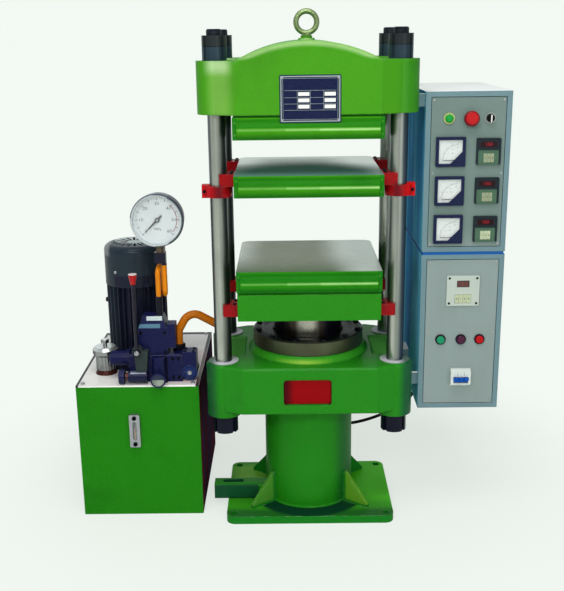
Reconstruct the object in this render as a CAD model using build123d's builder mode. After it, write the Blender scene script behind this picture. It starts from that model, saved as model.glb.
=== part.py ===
from build123d import *
import math
import os

os.makedirs("parts", exist_ok=True)

# Four-column plate vulcanizing press with two daylights, its oil tank and pump unit on the
# left and its electric control boxes on the right.
# X runs to the right, Y to the back and Z up. The origin is on the floor, in the middle of
# the four foundation bolts. All sizes are in millimetres.

# Fits and cutters
fit_gap = 0.05
seat_gap = 0.3
overrun = 4.0

# Foot plate and its ribs
bolt_spacing_x = 450.0
bolt_spacing_y = 320.0
bolt_edge = 23.0
bolt_hole_diameter = 22.0
base_thickness = 24.0
base_corner = 26.0
rib_foot_radius = 218.0
rib_height = 96.0
rib_toe = 8.0
rib_thickness = 12.0
rib_angle = 37.0

# Cylinder and ram
barrel_radius = 132.0
barrel_length = 336.0
barrel_floor = 40.0
barrel_foot_chamfer = 5.0
neck_radius = 122.0
ram_radius = 100.0
ram_oil_gap = 4.0
ram_lift_off = 12.0
ram_recess_radius = 62.0
ram_recess_depth = 120.0
ram_spigot_radius = 40.0
ram_spigot_height = 14.0
gland_radius = 163.0
gland_height = 42.0
gland_chamfer = 4.0
gland_step = 6.0
gland_dish_radius = 138.0

# Oil inlet block low on the cylinder
inlet_reach = 290.0
inlet_width = 50.0
inlet_height = 50.0
inlet_side = 48.0
inlet_corner = 9.0
inlet_slot_length = 66.0
inlet_slot_width = 20.0
inlet_slot_depth = 14.0
inlet_slot_inset = 24.0

# Lower beam and crown, two castings with the same four ears
column_spacing_x = 490.0
column_spacing_y = 266.0
boss_radius = 50.0
body_half_width = 190.0
body_half_depth = 208.0
ear_fillet = 24.0
beam_height = 136.0
beam_boss_drop = 22.0
beam_edge_chamfer = 5.0
ring_radius = 178.0
ring_top_radius = 167.0
ring_height = 20.0
spot_radius = 43.0
spot_height = 3.0
pocket_width = 136.0
pocket_height = 76.0
pocket_depth = 9.0
pocket_shift = -6.0
pocket_corner = 12.0
pocket_drop = 72.0
crown_height = 138.0
crown_rise = 49.0
crown_edge_chamfer = 5.0

# Columns and their round nuts
column_diameter = 48.0
thread_diameter = 40.0
column_free_length = 696.0
column_top_stub = 80.0
column_end_chamfer = 3.0
foot_nut_radius = 36.5
crown_nut_radius = 32.5
foot_nut_height = 54.0
main_nut_height = 36.0
lock_nut_height = 28.0
nut_slot_width = 9.0
nut_slot_depth = 5.0
nut_slots = 4
nut_slot_turn = 45.0
nut_foot_margin = 2.0

# Eye bolt on the crown
eye_outer_radius = 36.0
eye_bar_radius = 7.5
eye_lift = 47.0
eye_boss_radius = 23.0
eye_boss_height = 5.0
eye_boss_chamfer = 2.0
eye_collar_radius = 16.0
eye_collar_height = 6.0
eye_neck_radius = 13.0
eye_shank_radius = 10.0
eye_shank_length = 38.0

# Heating plates, covers and boards
plate_side_gap = 45.0
plate_depth = 400.0
plate_thickness = 58.0
plate_corner = 26.0
heater_bore = 17.0
heater_count = 6
heater_pitch = 62.0
heater_depth = 380.0
board_thickness = 6.0
board_inset = 4.0
cover_thickness = 5.0
cover_bulge = 10.0
cover_margin = 10.0
cover_ridge_inset = 3.0
cover_top_shelf = 12.0
table_height = 75.0
table_side_step = 2.0
table_depth = 408.0
table_fillet = 4.0
table_rest_gap = 77.0
lower_daylight_part = 204.0
upper_daylight_part = 95.0

# Red guide forks and clamp collars on the columns
guide_length = 66.0
guide_height = 33.0
guide_overlap = 5.0
table_guide_drop = 73.0
collar_radius = 37.0
collar_height = 30.0
collar_gap = 3.0
collar_ear_reach = 45.0
collar_ear_width = 22.0
collar_ear_height = 36.0

# Oil tank
tank_width = 360.0
tank_depth = 500.0
tank_height = 411.0
tank_wall = 4.0
tank_side_gap = 74.0
tank_front = -115.0
lid_thickness = 5.0
level_width = 31.0
level_height = 102.0
level_thickness = 14.0
level_window_width = 12.0
level_window_height = 58.0
level_window_depth = 4.0
level_inset = 168.0
level_drop = 83.0
level_corner = 4.0

# Filler with its breather cap
filler_inset_x = 71.0
filler_inset_y = 115.0
filler_base_radius = 33.0
filler_base_height = 14.0
filler_neck_radius = 27.0
filler_tube_radius = 20.0
filler_neck_height = 12.0
filler_dip = 60.0
cap_radius = 38.0
cap_skirt_radius = 30.0
cap_height = 70.0
cap_brim = 20.0
cap_dome = 8.0
cap_wall = 3.0
cap_knob_radius = 12.0
cap_knob_height = 22.0
cap_flutes = 18
cap_flute_radius = 2.0

# Electric motor, stood on its flange
motor_inset_x = 160.0
motor_inset_y = 215.0
motor_flange_radius = 100.0
motor_flange_height = 12.0
motor_bell_radius = 86.0
motor_bell_height = 26.0
motor_core_radius = 78.0
motor_fin_radius = 90.0
motor_fin_thickness = 3.0
motor_fin_count = 30
motor_fin_length = 232.0
motor_bore_radius = 61.0
motor_wall = 12.0
fan_cover_radius = 92.0
fan_cover_wall = 1.95
fan_cover_height = 122.0
fan_cover_lap = 10.0
fan_cover_shoulder = 20.0
fan_slot_count = 18
fan_slot_width = 6.0
fan_slot_inner = 22.0
fan_slot_outer = 64.0
rotor_radius = 60.0
rotor_length = 150.0
rotor_lift = 40.0
shaft_radius = 12.0
fan_hub_radius = 20.0
fan_radius = 74.0
fan_height = 26.0
fan_lift = 14.0
fan_blade_thickness = 3.0
fan_blades = 7
terminal_width = 96.0
terminal_depth = 52.0
terminal_height = 96.0
terminal_lift = 160.0
terminal_corner = 8.0
cable_gland_radius = 11.0
cable_gland_length = 18.0

# Gear pump under the lid
pump_width = 92.0
pump_depth = 104.0
pump_height = 96.0
pump_bell_radius = 62.0
pump_bell_height = 70.0
pump_shaft_depth = 60.0
strainer_radius = 34.0
strainer_height = 80.0
strainer_tube_radius = 13.0
strainer_tube_length = 60.0

# Valve manifold on the lid
manifold_inset_x = 155.0
manifold_width = 156.0
manifold_front = 30.0
manifold_depth = 68.0
manifold_height = 84.0
manifold_chamfer = 4.0
throttle_body_radius = 23.0
throttle_body_shift = 12.0
throttle_stem_radius = 9.0
throttle_stem_length = 32.0
throttle_knob_clear = 4.0
throttle_height = 21.0
throttle_knob_radius = 22.0
throttle_knob_length = 17.0
throttle_face_radius = 17.0
throttle_face_dish = 1.5
knob_flute_radius = 1.6
knob_flutes = 20
solenoid_width = 84.0
solenoid_depth = 64.0
solenoid_height = 78.0
solenoid_cap_height = 37.0
solenoid_cap_taper = 13.0
solenoid_inset = 32.0
solenoid_back = 2.0
solenoid_side_width = 24.0
solenoid_side_height = 72.0
solenoid_side_depth = 40.0
solenoid_side_lift = 20.0
coil_radius = 22.0
coil_length = 56.0
coil_flange_radius = 26.0
coil_flange_length = 8.0
coil_height = 64.0
cock_radius = 23.0
cock_length = 62.0
cock_height = 26.0
cock_block_width = 42.0
cock_block_height = 40.0
cock_block_depth = 44.0
cock_face_radius = 16.0
cock_face_depth = 3.0
relief_radius = 17.0
relief_length = 56.0
relief_height = 23.0
relief_pad_width = 30.0
relief_pad_height = 26.0
relief_stem_depth = 24.0
relief_collar_radius = 12.0
relief_collar_length = 8.0
handwheel_radius = 21.0
handwheel_width = 16.0
handwheel_flutes = 16
handwheel_flute_radius = 2.0
handwheel_gap = 3.0
stem_radius = 6.0
hand_valve_width = 42.0
hand_valve_foot_width = 30.0
hand_valve_depth = 24.0
hand_valve_height = 62.0
hand_valve_inset = 40.0
pivot_radius = 15.0
pivot_shift = 10.0
pivot_drop = 2.0
pivot_pin_length = 14.0
lever_hub_radius = 11.0
lever_hub_length = 12.0
lever_bar_radius = 5.0
lever_reach = 205.0
lever_knob_radius = 12.0
lever_knob_length = 30.0
lever_knob_band = 4.0
lever_knob_neck = 7.0
pivot_pin_radius = 5.0

# Pressure gauge, its stem and its siphon pipe
gauge_radius = 75.5
gauge_depth = 50.0
gauge_wall = 3.0
gauge_bezel_width = 7.0
gauge_bezel_depth = 9.0
gauge_dial_depth = 14.0
gauge_front = 15.0
gauge_shift = 104.0
gauge_rise = 484.0
gauge_pin_radius = 2.5
gauge_pin_length = 8.0
needle_hub_radius = 7.0
needle_thickness = 1.5
needle_length = 52.0
needle_tail = 18.0
needle_width = 4.0
needle_lift = 3.0
needle_rest_angle = 225.0
stem_block_width = 32.0
stem_block_depth = 24.0
stem_block_height = 32.0
stem_neck_radius = 10.0
stem_neck_height = 22.0
stem_from_face = 38.0
siphon_pipe_radius = 7.5
siphon_leg_spacing = 20.0
siphon_loop_depth = 50.0
siphon_loop_height = 84.0
siphon_bend_radius = 23.0
siphon_top_gap = 14.0
riser_radius = 9.5
riser_height = 56.0

# Steel pressure pipe from the manifold to the beam
pipe_radius = 12.0
pipe_bend_radius = 36.0
pipe_inset_x = 13.0
pipe_inset_y = 13.0
pipe_first_rise = 56.0
pipe_peak_rise = 114.0
pipe_peak_shift = 34.0
pipe_far_rise = 54.0
pipe_far_reach = 62.0
pipe_port_rise = 72.0
pipe_nut_radius = 19.0
pipe_nut_length = 22.0
pipe_nut_sides = 6

# Electric control boxes
box_gap = 21.0
box_width = 231.0
box_depth = 440.0
box_front = -125.0
box_wall = 2.0
lower_box_bottom = 341.0
lower_box_height = 459.0
box_joint_gap = 7.5
upper_box_height = 438.0
box_rim = 14.0
panel_thickness = 3.0
panel_recess = 1.0
joint_inset = 3.0
box_ledge = 4.0
ledge_depth = 7.0
saddle_length = 70.0
saddle_height = 34.0
saddle_lap = 14.0
lower_saddle_lift = 70.0
upper_saddle_drop = 40.0

# Instruments and controls on the boxes
control_row_drop = 71.0
meter_size = 80.0
meter_rim = 8.0
meter_proud = 9.0
meter_body_radius = 30.0
meter_body_depth = 48.0
meter_dish = 7.0
meter_column = 69.5
meter_first_drop = 160.0
meter_pitch = 106.5
meter_corner = 3.0
meter_pivot_share = 0.29
meter_cover_size = 33.0
meter_cover_thickness = 1.5
meter_pin_radius = 1.5
meter_needle_length = 44.0
meter_needle_width = 1.6
meter_needle_thickness = 0.8
meter_needle_lift = 2.0
meter_hub_radius = 4.0
controller_size = 72.0
controller_width = 66.0
controller_proud = 7.0
controller_body_size = 60.0
controller_body_depth = 80.0
controller_column = 172.0
controller_rim = 4.0
controller_dish = 2.0
controller_split_share = 0.08
controller_bar = 3.0
timer_width = 92.0
timer_height = 88.0
timer_proud = 4.0
timer_body_size = 60.0
timer_body_depth = 70.0
timer_column = 118.5
timer_drop = 105.0
timer_window_width = 36.0
timer_window_height = 20.0
timer_wheel_width = 48.0
timer_wheel_height = 26.0
timer_wheel_drop = 23.0
timer_window_rise = 20.0
timer_dish = 1.5
lamp_columns = (63.0, 121.0, 173.0)
button_columns = (60.0, 118.0, 171.0)
button_drop = 249.0
bezel_radius = 15.0
bezel_proud = 4.0
bezel_body_radius = 13.5
bezel_body_depth = 40.0
lamp_proud = 6.0
lamp_edge = 4.0
button_radius = 11.0
button_proud = 6.0
button_stem_depth = 22.0
button_travel = 4.0
button_edge = 1.5
estop_radius = 20.5
estop_head = 12.0
estop_gap = 8.0
estop_edge = 5.0
selector_radius = 11.0
selector_proud = 15.0
selector_grip = 7.0
selector_disc = 5.0
breaker_width = 57.0
breaker_height = 50.0
breaker_proud = 10.0
breaker_body_depth = 55.0
breaker_body_inset = 4.0
breaker_step = 38.0
breaker_step_proud = 8.0
breaker_slot_height = 19.0
breaker_column = 120.0
breaker_drop = 362.0
toggle_width = 42.0
toggle_reach = 17.0
toggle_thickness = 6.0
toggle_barrel_radius = 7.0
toggle_axis_inset = 4.0
toggle_pin_reach = 4.0
toggle_tilt = 28.0
toggle_drop = 6.0
toggle_notch_width = 2.5
toggle_bars = 3
toggle_pin_radius = 2.0

# Cable between the motor and the lower control box
cable_radius = 5.0
box_gland_side = 42.0
box_gland_back = 327.0
cable_shares = (
    (0.011, 0.052, 0.134),
    (0.039, 0.141, 0.139),
    (0.080, 0.230, 0.157),
    (0.141, 0.273, 0.241),
    (0.232, 0.255, 0.332),
    (0.343, 0.189, 0.393),
    (0.463, 0.109, 0.430),
    (0.593, 0.032, 0.459),
    (0.724, -0.014, 0.470),
    (0.845, -0.032, 0.434),
    (0.943, -0.030, 0.382),
)
cable_drop = 66.0
cable_rise = 61.0
cable_fillet_share = 0.45


# Places that follow from the sizes above
base_width = bolt_spacing_x + 2 * bolt_edge
base_depth = bolt_spacing_y + 2 * bolt_edge
web_bottom = base_thickness + barrel_length
beam_top = web_bottom + beam_height
beam_bottom = web_bottom - beam_boss_drop
ring_top = beam_top + ring_height
gland_top = ring_top + gland_height
shank_bottom = beam_top + spot_height
crown_bottom = shank_bottom + column_free_length
crown_top = crown_bottom + crown_height
crown_peak = crown_top + crown_rise
upper_plate_bottom = crown_bottom - board_thickness - plate_thickness
table_bottom = gland_top + table_rest_gap
table_top = table_bottom + table_height
lower_plate_bottom = table_top + board_thickness
lower_plate_top = lower_plate_bottom + plate_thickness
daylight = upper_plate_bottom - lower_plate_top - plate_thickness
daylight_parts = lower_daylight_part + upper_daylight_part
middle_plate_bottom = lower_plate_top + daylight * lower_daylight_part / daylight_parts
column_x = column_spacing_x / 2
plate_width = column_spacing_x - 2 * plate_side_gap
table_width = plate_width - 2 * table_side_step
cover_width = table_width
column_y = column_spacing_y / 2
column_places = [(sx * column_x, sy * column_y) for sx in (-1, 1) for sy in (-1, 1)]
tank_right = -base_width / 2 - tank_side_gap
tank_left = tank_right - tank_width
tank_middle = (tank_left + tank_right) / 2
lid_top = tank_height + lid_thickness
box_left = column_x + boss_radius + box_gap
box_middle = box_left + box_width / 2
lower_box_top = lower_box_bottom + lower_box_height
upper_box_bottom = lower_box_top + box_joint_gap
upper_box_top = upper_box_bottom + upper_box_height
panel_front = box_front + panel_recess


def front_plane(y):
    """Plane that faces the front, with its own x to the right and its own y upward."""
    return Plane.XZ.offset(-y)


def side_plane(x):
    """Plane that faces right, with its own x to the back and its own y upward."""
    return Plane.YZ.offset(x)


def four_ear_plan():
    """Plan of both castings: a block with an ear round each column."""
    Rectangle(2 * body_half_width, 2 * body_half_depth)
    for side in (-1, 1):
        for end in (-1, 1):
            Polygon(
                (side * body_half_width, end * body_half_depth),
                (side * column_x, end * (column_y + boss_radius)),
                (side * column_x, end * (column_y - boss_radius)),
                (side * body_half_width, end * (column_y - boss_radius)),
                align=None,
            )
    with Locations(*column_places):
        Circle(boss_radius)


def block_corners(sketch):
    """Corners where the ears run into the middle block."""
    return [v for v in sketch.vertices() if math.isclose(abs(v.X), body_half_width, rel_tol=1e-6)]


# Foot plate with its four welded ribs
with BuildPart() as base_plate:
    with BuildSketch():
        RectangleRounded(base_width, base_depth, base_corner)
    extrude(amount=base_thickness)
    with Locations(Plane.XY.offset(base_thickness)):
        with GridLocations(bolt_spacing_x, bolt_spacing_y, 2, 2):
            Hole(radius=bolt_hole_diameter / 2)
    for turn in (rib_angle, 180 - rib_angle, 180 + rib_angle, -rib_angle):
        rib_plane = Plane.XZ.rotated((0, 0, turn))
        with BuildSketch(rib_plane):
            with BuildLine():
                Polyline(
                    (barrel_radius - overrun, base_thickness),
                    (rib_foot_radius, base_thickness),
                    (rib_foot_radius, base_thickness + rib_toe),
                    (barrel_radius + rib_toe, base_thickness + rib_height),
                    (barrel_radius - overrun, base_thickness + rib_height),
                    close=True,
                )
            make_face()
        extrude(amount=rib_thickness / 2, both=True)
    with BuildSketch(Plane.XY.offset(base_thickness)):
        Circle(barrel_radius)
    extrude(amount=rib_height + overrun, mode=Mode.SUBTRACT)
base_plate.part.label = "base_plate"
export_step(base_plate.part, "parts/base_plate.step")

# Cylinder, closed below, with a neck that passes up through the beam
bore_radius = ram_radius + ram_oil_gap
with BuildPart() as cylinder_barrel:
    with BuildSketch(Plane.XZ):
        with BuildLine():
            Polyline(
                (0, base_thickness),
                (barrel_radius - barrel_foot_chamfer, base_thickness),
                (barrel_radius, base_thickness + barrel_foot_chamfer),
                (barrel_radius, web_bottom),
                (neck_radius, web_bottom),
                (neck_radius, ring_top),
                (bore_radius, ring_top),
                (bore_radius, base_thickness + barrel_floor),
                (0, base_thickness + barrel_floor),
                close=True,
            )
        make_face()
    revolve(axis=Axis.Z)
    inlet_bottom = base_thickness
    with BuildSketch(side_plane(-inlet_reach)):
        with Locations((-inlet_side, inlet_bottom + inlet_height / 2)):
            RectangleRounded(inlet_width, inlet_height, inlet_corner)
    inlet_root = math.sqrt(barrel_radius**2 - (inlet_side + inlet_width / 2) ** 2)
    extrude(amount=inlet_reach - inlet_root + overrun)
    slot_middle = -inlet_reach + inlet_slot_inset + inlet_slot_length / 2
    with BuildSketch(Plane.XY.offset(inlet_bottom + inlet_height)):
        with Locations((slot_middle, -inlet_side)):
            SlotOverall(inlet_slot_length, inlet_slot_width)
    extrude(amount=-inlet_slot_depth, mode=Mode.SUBTRACT)
    with BuildSketch(Plane.XY.offset(base_thickness + barrel_floor)):
        Circle(bore_radius)
    extrude(amount=inlet_height, mode=Mode.SUBTRACT)
cylinder_barrel.part.label = "cylinder_barrel"
export_step(cylinder_barrel.part, "parts/cylinder_barrel.step")

# Lower beam: four ears, a coned ring round the cylinder neck and a pocket in the front
with BuildPart() as lower_beam:
    with BuildSketch(Plane.XY.offset(web_bottom)) as beam_plan:
        four_ear_plan()
        fillet(block_corners(beam_plan.sketch), radius=ear_fillet)
    extrude(amount=beam_height)
    chamfer(lower_beam.faces().sort_by(Axis.Z)[-1].outer_wire().edges(), length=beam_edge_chamfer)
    with BuildSketch(Plane.XY.offset(beam_bottom)):
        with Locations(*column_places):
            Circle(boss_radius)
    extrude(amount=beam_boss_drop)
    with BuildSketch(Plane.XZ):
        with BuildLine():
            Polyline(
                (0, beam_top - overrun),
                (ring_radius, beam_top - overrun),
                (ring_radius, beam_top),
                (ring_top_radius, ring_top),
                (0, ring_top),
                close=True,
            )
        make_face()
    revolve(axis=Axis.Z)
    with BuildSketch(Plane.XY.offset(beam_top)):
        with Locations(*column_places):
            Circle(spot_radius)
    extrude(amount=spot_height)
    with Locations(Plane.XY.offset(ring_top)):
        Hole(radius=neck_radius + fit_gap)
    with Locations(Plane.XY.offset(shank_bottom)):
        with Locations(*column_places):
            Hole(radius=thread_diameter / 2 + fit_gap)
    with BuildSketch(front_plane(-body_half_depth)):
        with Locations((pocket_shift, beam_top - pocket_drop)):
            RectangleRounded(pocket_width, pocket_height, pocket_corner)
    extrude(amount=-pocket_depth, mode=Mode.SUBTRACT)
lower_beam.part.label = "lower_beam"
export_step(lower_beam.part, "parts/lower_beam.step")

# Crown: the same plan with an arched back and a boss for the eye bolt
eye_seat_top = crown_peak + eye_boss_height
with BuildPart() as crown_beam:
    with BuildSketch(Plane.XY.offset(crown_bottom)) as crown_plan:
        four_ear_plan()
        fillet(block_corners(crown_plan.sketch), radius=ear_fillet)
    extrude(amount=crown_height)
    with BuildSketch(front_plane(body_half_depth)):
        with BuildLine():
            ThreePointArc((-body_half_width, crown_top), (0, crown_peak), (body_half_width, crown_top))
            Polyline(
                (body_half_width, crown_top),
                (body_half_width, crown_top - overrun),
                (-body_half_width, crown_top - overrun),
                (-body_half_width, crown_top),
            )
        make_face()
    extrude(amount=2 * body_half_depth)
    arch_edges = crown_beam.edges().filter_by(GeomType.CIRCLE).sort_by(Axis.Z)[-2:]
    chamfer(arch_edges, length=crown_edge_chamfer)
    with BuildSketch(Plane.XY.offset(crown_top)):
        Circle(eye_boss_radius)
    extrude(amount=eye_seat_top - crown_top)
    boss_rim = crown_beam.edges().filter_by(GeomType.CIRCLE).sort_by(Axis.Z)[-1]
    chamfer(boss_rim, length=eye_boss_chamfer)
    with Locations(Plane.XY.offset(eye_seat_top)):
        Hole(radius=eye_shank_radius + fit_gap, depth=eye_shank_length + seat_gap)
    with Locations(Plane.XY.offset(crown_top)):
        with Locations(*column_places):
            Hole(radius=thread_diameter / 2 + fit_gap)
crown_beam.part.label = "crown_beam"
export_step(crown_beam.part, "parts/crown_beam.step")

# Lifting eye bolt
eye_centre = crown_peak + eye_lift
eye_bend_radius = eye_outer_radius - eye_bar_radius
with BuildPart() as eyebolt:
    with BuildSketch(Plane.XY.offset(eye_seat_top)):
        Circle(eye_collar_radius)
    extrude(amount=eye_collar_height)
    with BuildSketch(Plane.XY.offset(eye_seat_top)):
        Circle(eye_shank_radius)
    extrude(amount=-eye_shank_length)
    with BuildSketch(Plane.XY.offset(eye_seat_top + eye_collar_height)):
        Circle(eye_neck_radius)
    extrude(amount=eye_centre - eye_bend_radius - eye_seat_top - eye_collar_height)
    with BuildSketch(Plane.XY.offset(eye_centre)):
        with Locations((eye_bend_radius, 0)):
            Circle(eye_bar_radius)
    revolve(axis=Axis((0, 0, eye_centre), (0, 1, 0)))
eyebolt.part.label = "eyebolt"
export_step(eyebolt.part, "parts/eyebolt.step")

# Columns, turned down to their threads at both ends
column_top_end = crown_top + column_top_stub
column_foot_end = beam_bottom - foot_nut_height + nut_foot_margin
with BuildPart() as columns:
    with BuildSketch(Plane.XY.offset(column_foot_end)):
        with Locations(*column_places):
            Circle(thread_diameter / 2)
    extrude(amount=column_top_end - column_foot_end)
    with BuildSketch(Plane.XY.offset(shank_bottom)):
        with Locations(*column_places):
            Circle(column_diameter / 2)
    extrude(amount=column_free_length)
    column_rims = columns.edges().filter_by(GeomType.CIRCLE).group_by(Axis.Z)
    chamfer(column_rims[0] + column_rims[-1], length=column_end_chamfer)
columns.part.label = "columns"
export_step(columns.part, "parts/columns.step")


def round_nuts(bottom, height, nut_radius):
    """Round nuts on all four columns, with slots for a hook spanner."""
    with BuildSketch(Plane.XY.offset(bottom)) as nut_plan:
        with Locations(*column_places):
            Circle(nut_radius)
            Circle(thread_diameter / 2 + fit_gap, mode=Mode.SUBTRACT)
        for place in column_places:
            with Locations(place):
                with PolarLocations(nut_radius, nut_slots, start_angle=nut_slot_turn):
                    Rectangle(2 * nut_slot_depth, nut_slot_width, mode=Mode.SUBTRACT)
    extrude(nut_plan.sketch, amount=height)


# Round nuts: one below the beam and two above the crown on each column
with BuildPart() as column_nuts:
    round_nuts(beam_bottom - foot_nut_height, foot_nut_height, foot_nut_radius)
    round_nuts(crown_top, main_nut_height, crown_nut_radius)
with BuildPart() as lock_nuts:
    round_nuts(crown_top + main_nut_height, lock_nut_height, crown_nut_radius)
nut_set = Compound(children=list(column_nuts.part.solids()) + list(lock_nuts.part.solids()))
nut_set.label = "column_nuts"
export_step(nut_set, "parts/column_nuts.step")

# Gland cap round the ram
with BuildPart() as gland_cap:
    with BuildSketch(Plane.XZ):
        with BuildLine():
            Polyline(
                (ram_radius + fit_gap, ring_top),
                (gland_radius, ring_top),
                (gland_radius, gland_top - gland_chamfer),
                (gland_radius - gland_chamfer, gland_top),
                (gland_dish_radius, gland_top),
                (gland_dish_radius - gland_step, gland_top - gland_step),
                (ram_radius + gland_step, gland_top - gland_step),
                (ram_radius + fit_gap, gland_top - 2 * gland_step),
                close=True,
            )
        make_face()
    revolve(axis=Axis.Z)
gland_cap.part.label = "gland_cap"
export_step(gland_cap.part, "parts/gland_cap.step")

# Ram, bored out from below, with a spigot that centres the table
ram_bottom = base_thickness + barrel_floor + ram_lift_off
with BuildPart() as ram:
    with BuildSketch(Plane.XY.offset(ram_bottom)):
        Circle(ram_radius)
    extrude(amount=table_bottom - ram_bottom)
    with BuildSketch(Plane.XY.offset(table_bottom)):
        Circle(ram_spigot_radius)
    extrude(amount=ram_spigot_height)
    with BuildSketch(Plane.XY.offset(ram_bottom)):
        Circle(ram_recess_radius)
    extrude(amount=ram_recess_depth, mode=Mode.SUBTRACT)
    chamfer(ram.edges().filter_by(GeomType.CIRCLE).sort_by(Axis.Z)[0], length=column_end_chamfer)
ram.part.label = "ram"
export_step(ram.part, "parts/ram.step")

# Moving table on the ram
with BuildPart() as moving_table:
    with BuildSketch(Plane.XY.offset(table_bottom)):
        Rectangle(table_width, table_depth)
    extrude(amount=table_height)
    fillet(moving_table.edges().filter_by(Axis.Z), radius=table_fillet)
    with BuildSketch(Plane.XY.offset(table_bottom)):
        Circle(ram_spigot_radius + fit_gap)
    extrude(amount=ram_spigot_height + seat_gap, mode=Mode.SUBTRACT)
moving_table.part.label = "moving_table"
export_step(moving_table.part, "parts/moving_table.step")


def slab(bottom, width, depth, thickness, corner):
    """Flat slab centred on the press, its two rear corners rounded."""
    with BuildSketch(Plane.XY.offset(bottom)) as slab_plan:
        Rectangle(width, depth)
        fillet(slab_plan.vertices().group_by(Axis.Y)[-1], radius=corner)
    extrude(slab_plan.sketch, amount=thickness)


def heating_plate(bottom):
    """Steel heating plate with the bores of its heating rods in the back."""
    slab(bottom, plate_width, plate_depth, plate_thickness, plate_corner)
    with BuildSketch(front_plane(plate_depth / 2)) as bores:
        with Locations((0, bottom + plate_thickness / 2)):
            with GridLocations(heater_pitch, 0, heater_count, 1):
                Circle(heater_bore / 2)
    extrude(bores.sketch, amount=heater_depth, mode=Mode.SUBTRACT)


def plate_cover(bottom):
    """Front cover of a heating plate, rolled out to a long rounded ridge."""
    back = -plate_depth / 2
    face = back - cover_thickness
    with BuildSketch(front_plane(back)) as sheet:
        with Locations((0, bottom + plate_thickness / 2)):
            Rectangle(cover_width, plate_thickness)
    extrude(sheet.sketch, amount=cover_thickness)
    ridge_low = bottom + cover_ridge_inset
    ridge_high = bottom + plate_thickness - cover_top_shelf
    with BuildSketch(side_plane(-cover_width / 2 + cover_margin)) as ridge:
        with BuildLine():
            ThreePointArc(
                (face, ridge_low),
                (face - cover_bulge, (ridge_low + ridge_high) / 2),
                (face, ridge_high),
            )
            Line((face, ridge_high), (face, ridge_low))
        make_face()
    extrude(ridge.sketch, amount=cover_width - 2 * cover_margin)


with BuildPart() as lower_heating_plate:
    heating_plate(lower_plate_bottom)
lower_heating_plate.part.label = "lower_heating_plate"
export_step(lower_heating_plate.part, "parts/lower_heating_plate.step")

with BuildPart() as middle_heating_plate:
    heating_plate(middle_plate_bottom)
middle_heating_plate.part.label = "middle_heating_plate"
export_step(middle_heating_plate.part, "parts/middle_heating_plate.step")

with BuildPart() as upper_heating_plate:
    heating_plate(upper_plate_bottom)
upper_heating_plate.part.label = "upper_heating_plate"
export_step(upper_heating_plate.part, "parts/upper_heating_plate.step")

with BuildPart() as lower_cover:
    plate_cover(lower_plate_bottom)
lower_cover.part.label = "lower_cover"
export_step(lower_cover.part, "parts/lower_cover.step")

with BuildPart() as middle_cover:
    plate_cover(middle_plate_bottom)
middle_cover.part.label = "middle_cover"
export_step(middle_cover.part, "parts/middle_cover.step")

with BuildPart() as upper_cover:
    plate_cover(upper_plate_bottom)
upper_cover.part.label = "upper_cover"
export_step(upper_cover.part, "parts/upper_cover.step")

# Heat-insulating boards below the lower plate and above the upper plate
board_width = plate_width - 2 * board_inset
with BuildPart() as lower_board:
    slab(table_top, board_width, board_width, board_thickness, plate_corner)
lower_board.part.label = "lower_board"
export_step(lower_board.part, "parts/lower_board.step")

with BuildPart() as upper_board:
    slab(crown_bottom - board_thickness, board_width, board_width, board_thickness, plate_corner)
upper_board.part.label = "upper_board"
export_step(upper_board.part, "parts/upper_board.step")


def guide_forks(top, inner):
    """Forks that reach from a plate's side past the inner half of each column."""
    reach = column_x - guide_overlap - inner
    with BuildSketch(Plane.XY.offset(top - guide_height)) as fork_plan:
        for side in (-1, 1):
            for end in (-1, 1):
                with Locations((side * (inner + reach / 2), end * column_y)):
                    Rectangle(reach, guide_length)
        with Locations(*column_places):
            Circle(column_diameter / 2 + fit_gap, mode=Mode.SUBTRACT)
    extrude(fork_plan.sketch, amount=guide_height)


# Red guide forks of the middle plate
with BuildPart() as middle_guides:
    guide_forks(middle_plate_bottom + plate_thickness, plate_width / 2)
middle_guides.part.label = "middle_guides"
export_step(middle_guides.part, "parts/middle_guides.step")

# Red guide forks of the table
with BuildPart() as table_guides:
    guide_forks(table_top - table_guide_drop + guide_height, table_width / 2)
table_guides.part.label = "table_guides"
export_step(table_guides.part, "parts/table_guides.step")

# Red clamp collars that the middle plate rests on, each split at its outer ear
collar_top = middle_plate_bottom + plate_thickness - guide_height
collar_middle = collar_top - collar_height / 2
with BuildPart() as column_collars:
    with BuildSketch(Plane.XY.offset(collar_top - collar_height)):
        with Locations(*column_places):
            Circle(collar_radius)
    extrude(amount=collar_height)
    with BuildSketch(Plane.XY.offset(collar_middle)):
        for side in (-1, 1):
            for end in (-1, 1):
                with Locations((side * (column_x + collar_ear_reach / 2), end * column_y)):
                    Rectangle(collar_ear_reach, collar_ear_width)
    extrude(amount=collar_ear_height / 2, both=True)
    with BuildSketch(Plane.XY.offset(collar_middle)):
        for side in (-1, 1):
            for end in (-1, 1):
                with Locations((side * (column_x + collar_ear_reach / 2), end * column_y)):
                    Rectangle(collar_ear_reach + overrun, collar_gap)
        with Locations(*column_places):
            Circle(column_diameter / 2 + fit_gap)
    extrude(amount=collar_ear_height, both=True, mode=Mode.SUBTRACT)
column_collars.part.label = "column_collars"
export_step(column_collars.part, "parts/column_collars.step")

# Oil tank, an open sheet box that the lid closes
with BuildPart() as tank_shell:
    with BuildSketch():
        with Locations((tank_middle, tank_front + tank_depth / 2)):
            Rectangle(tank_width, tank_depth)
    extrude(amount=tank_height)
    offset(amount=-tank_wall, openings=tank_shell.faces().sort_by(Axis.Z)[-1])
tank_shell.part.label = "tank_shell"
export_step(tank_shell.part, "parts/tank_shell.step")

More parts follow.
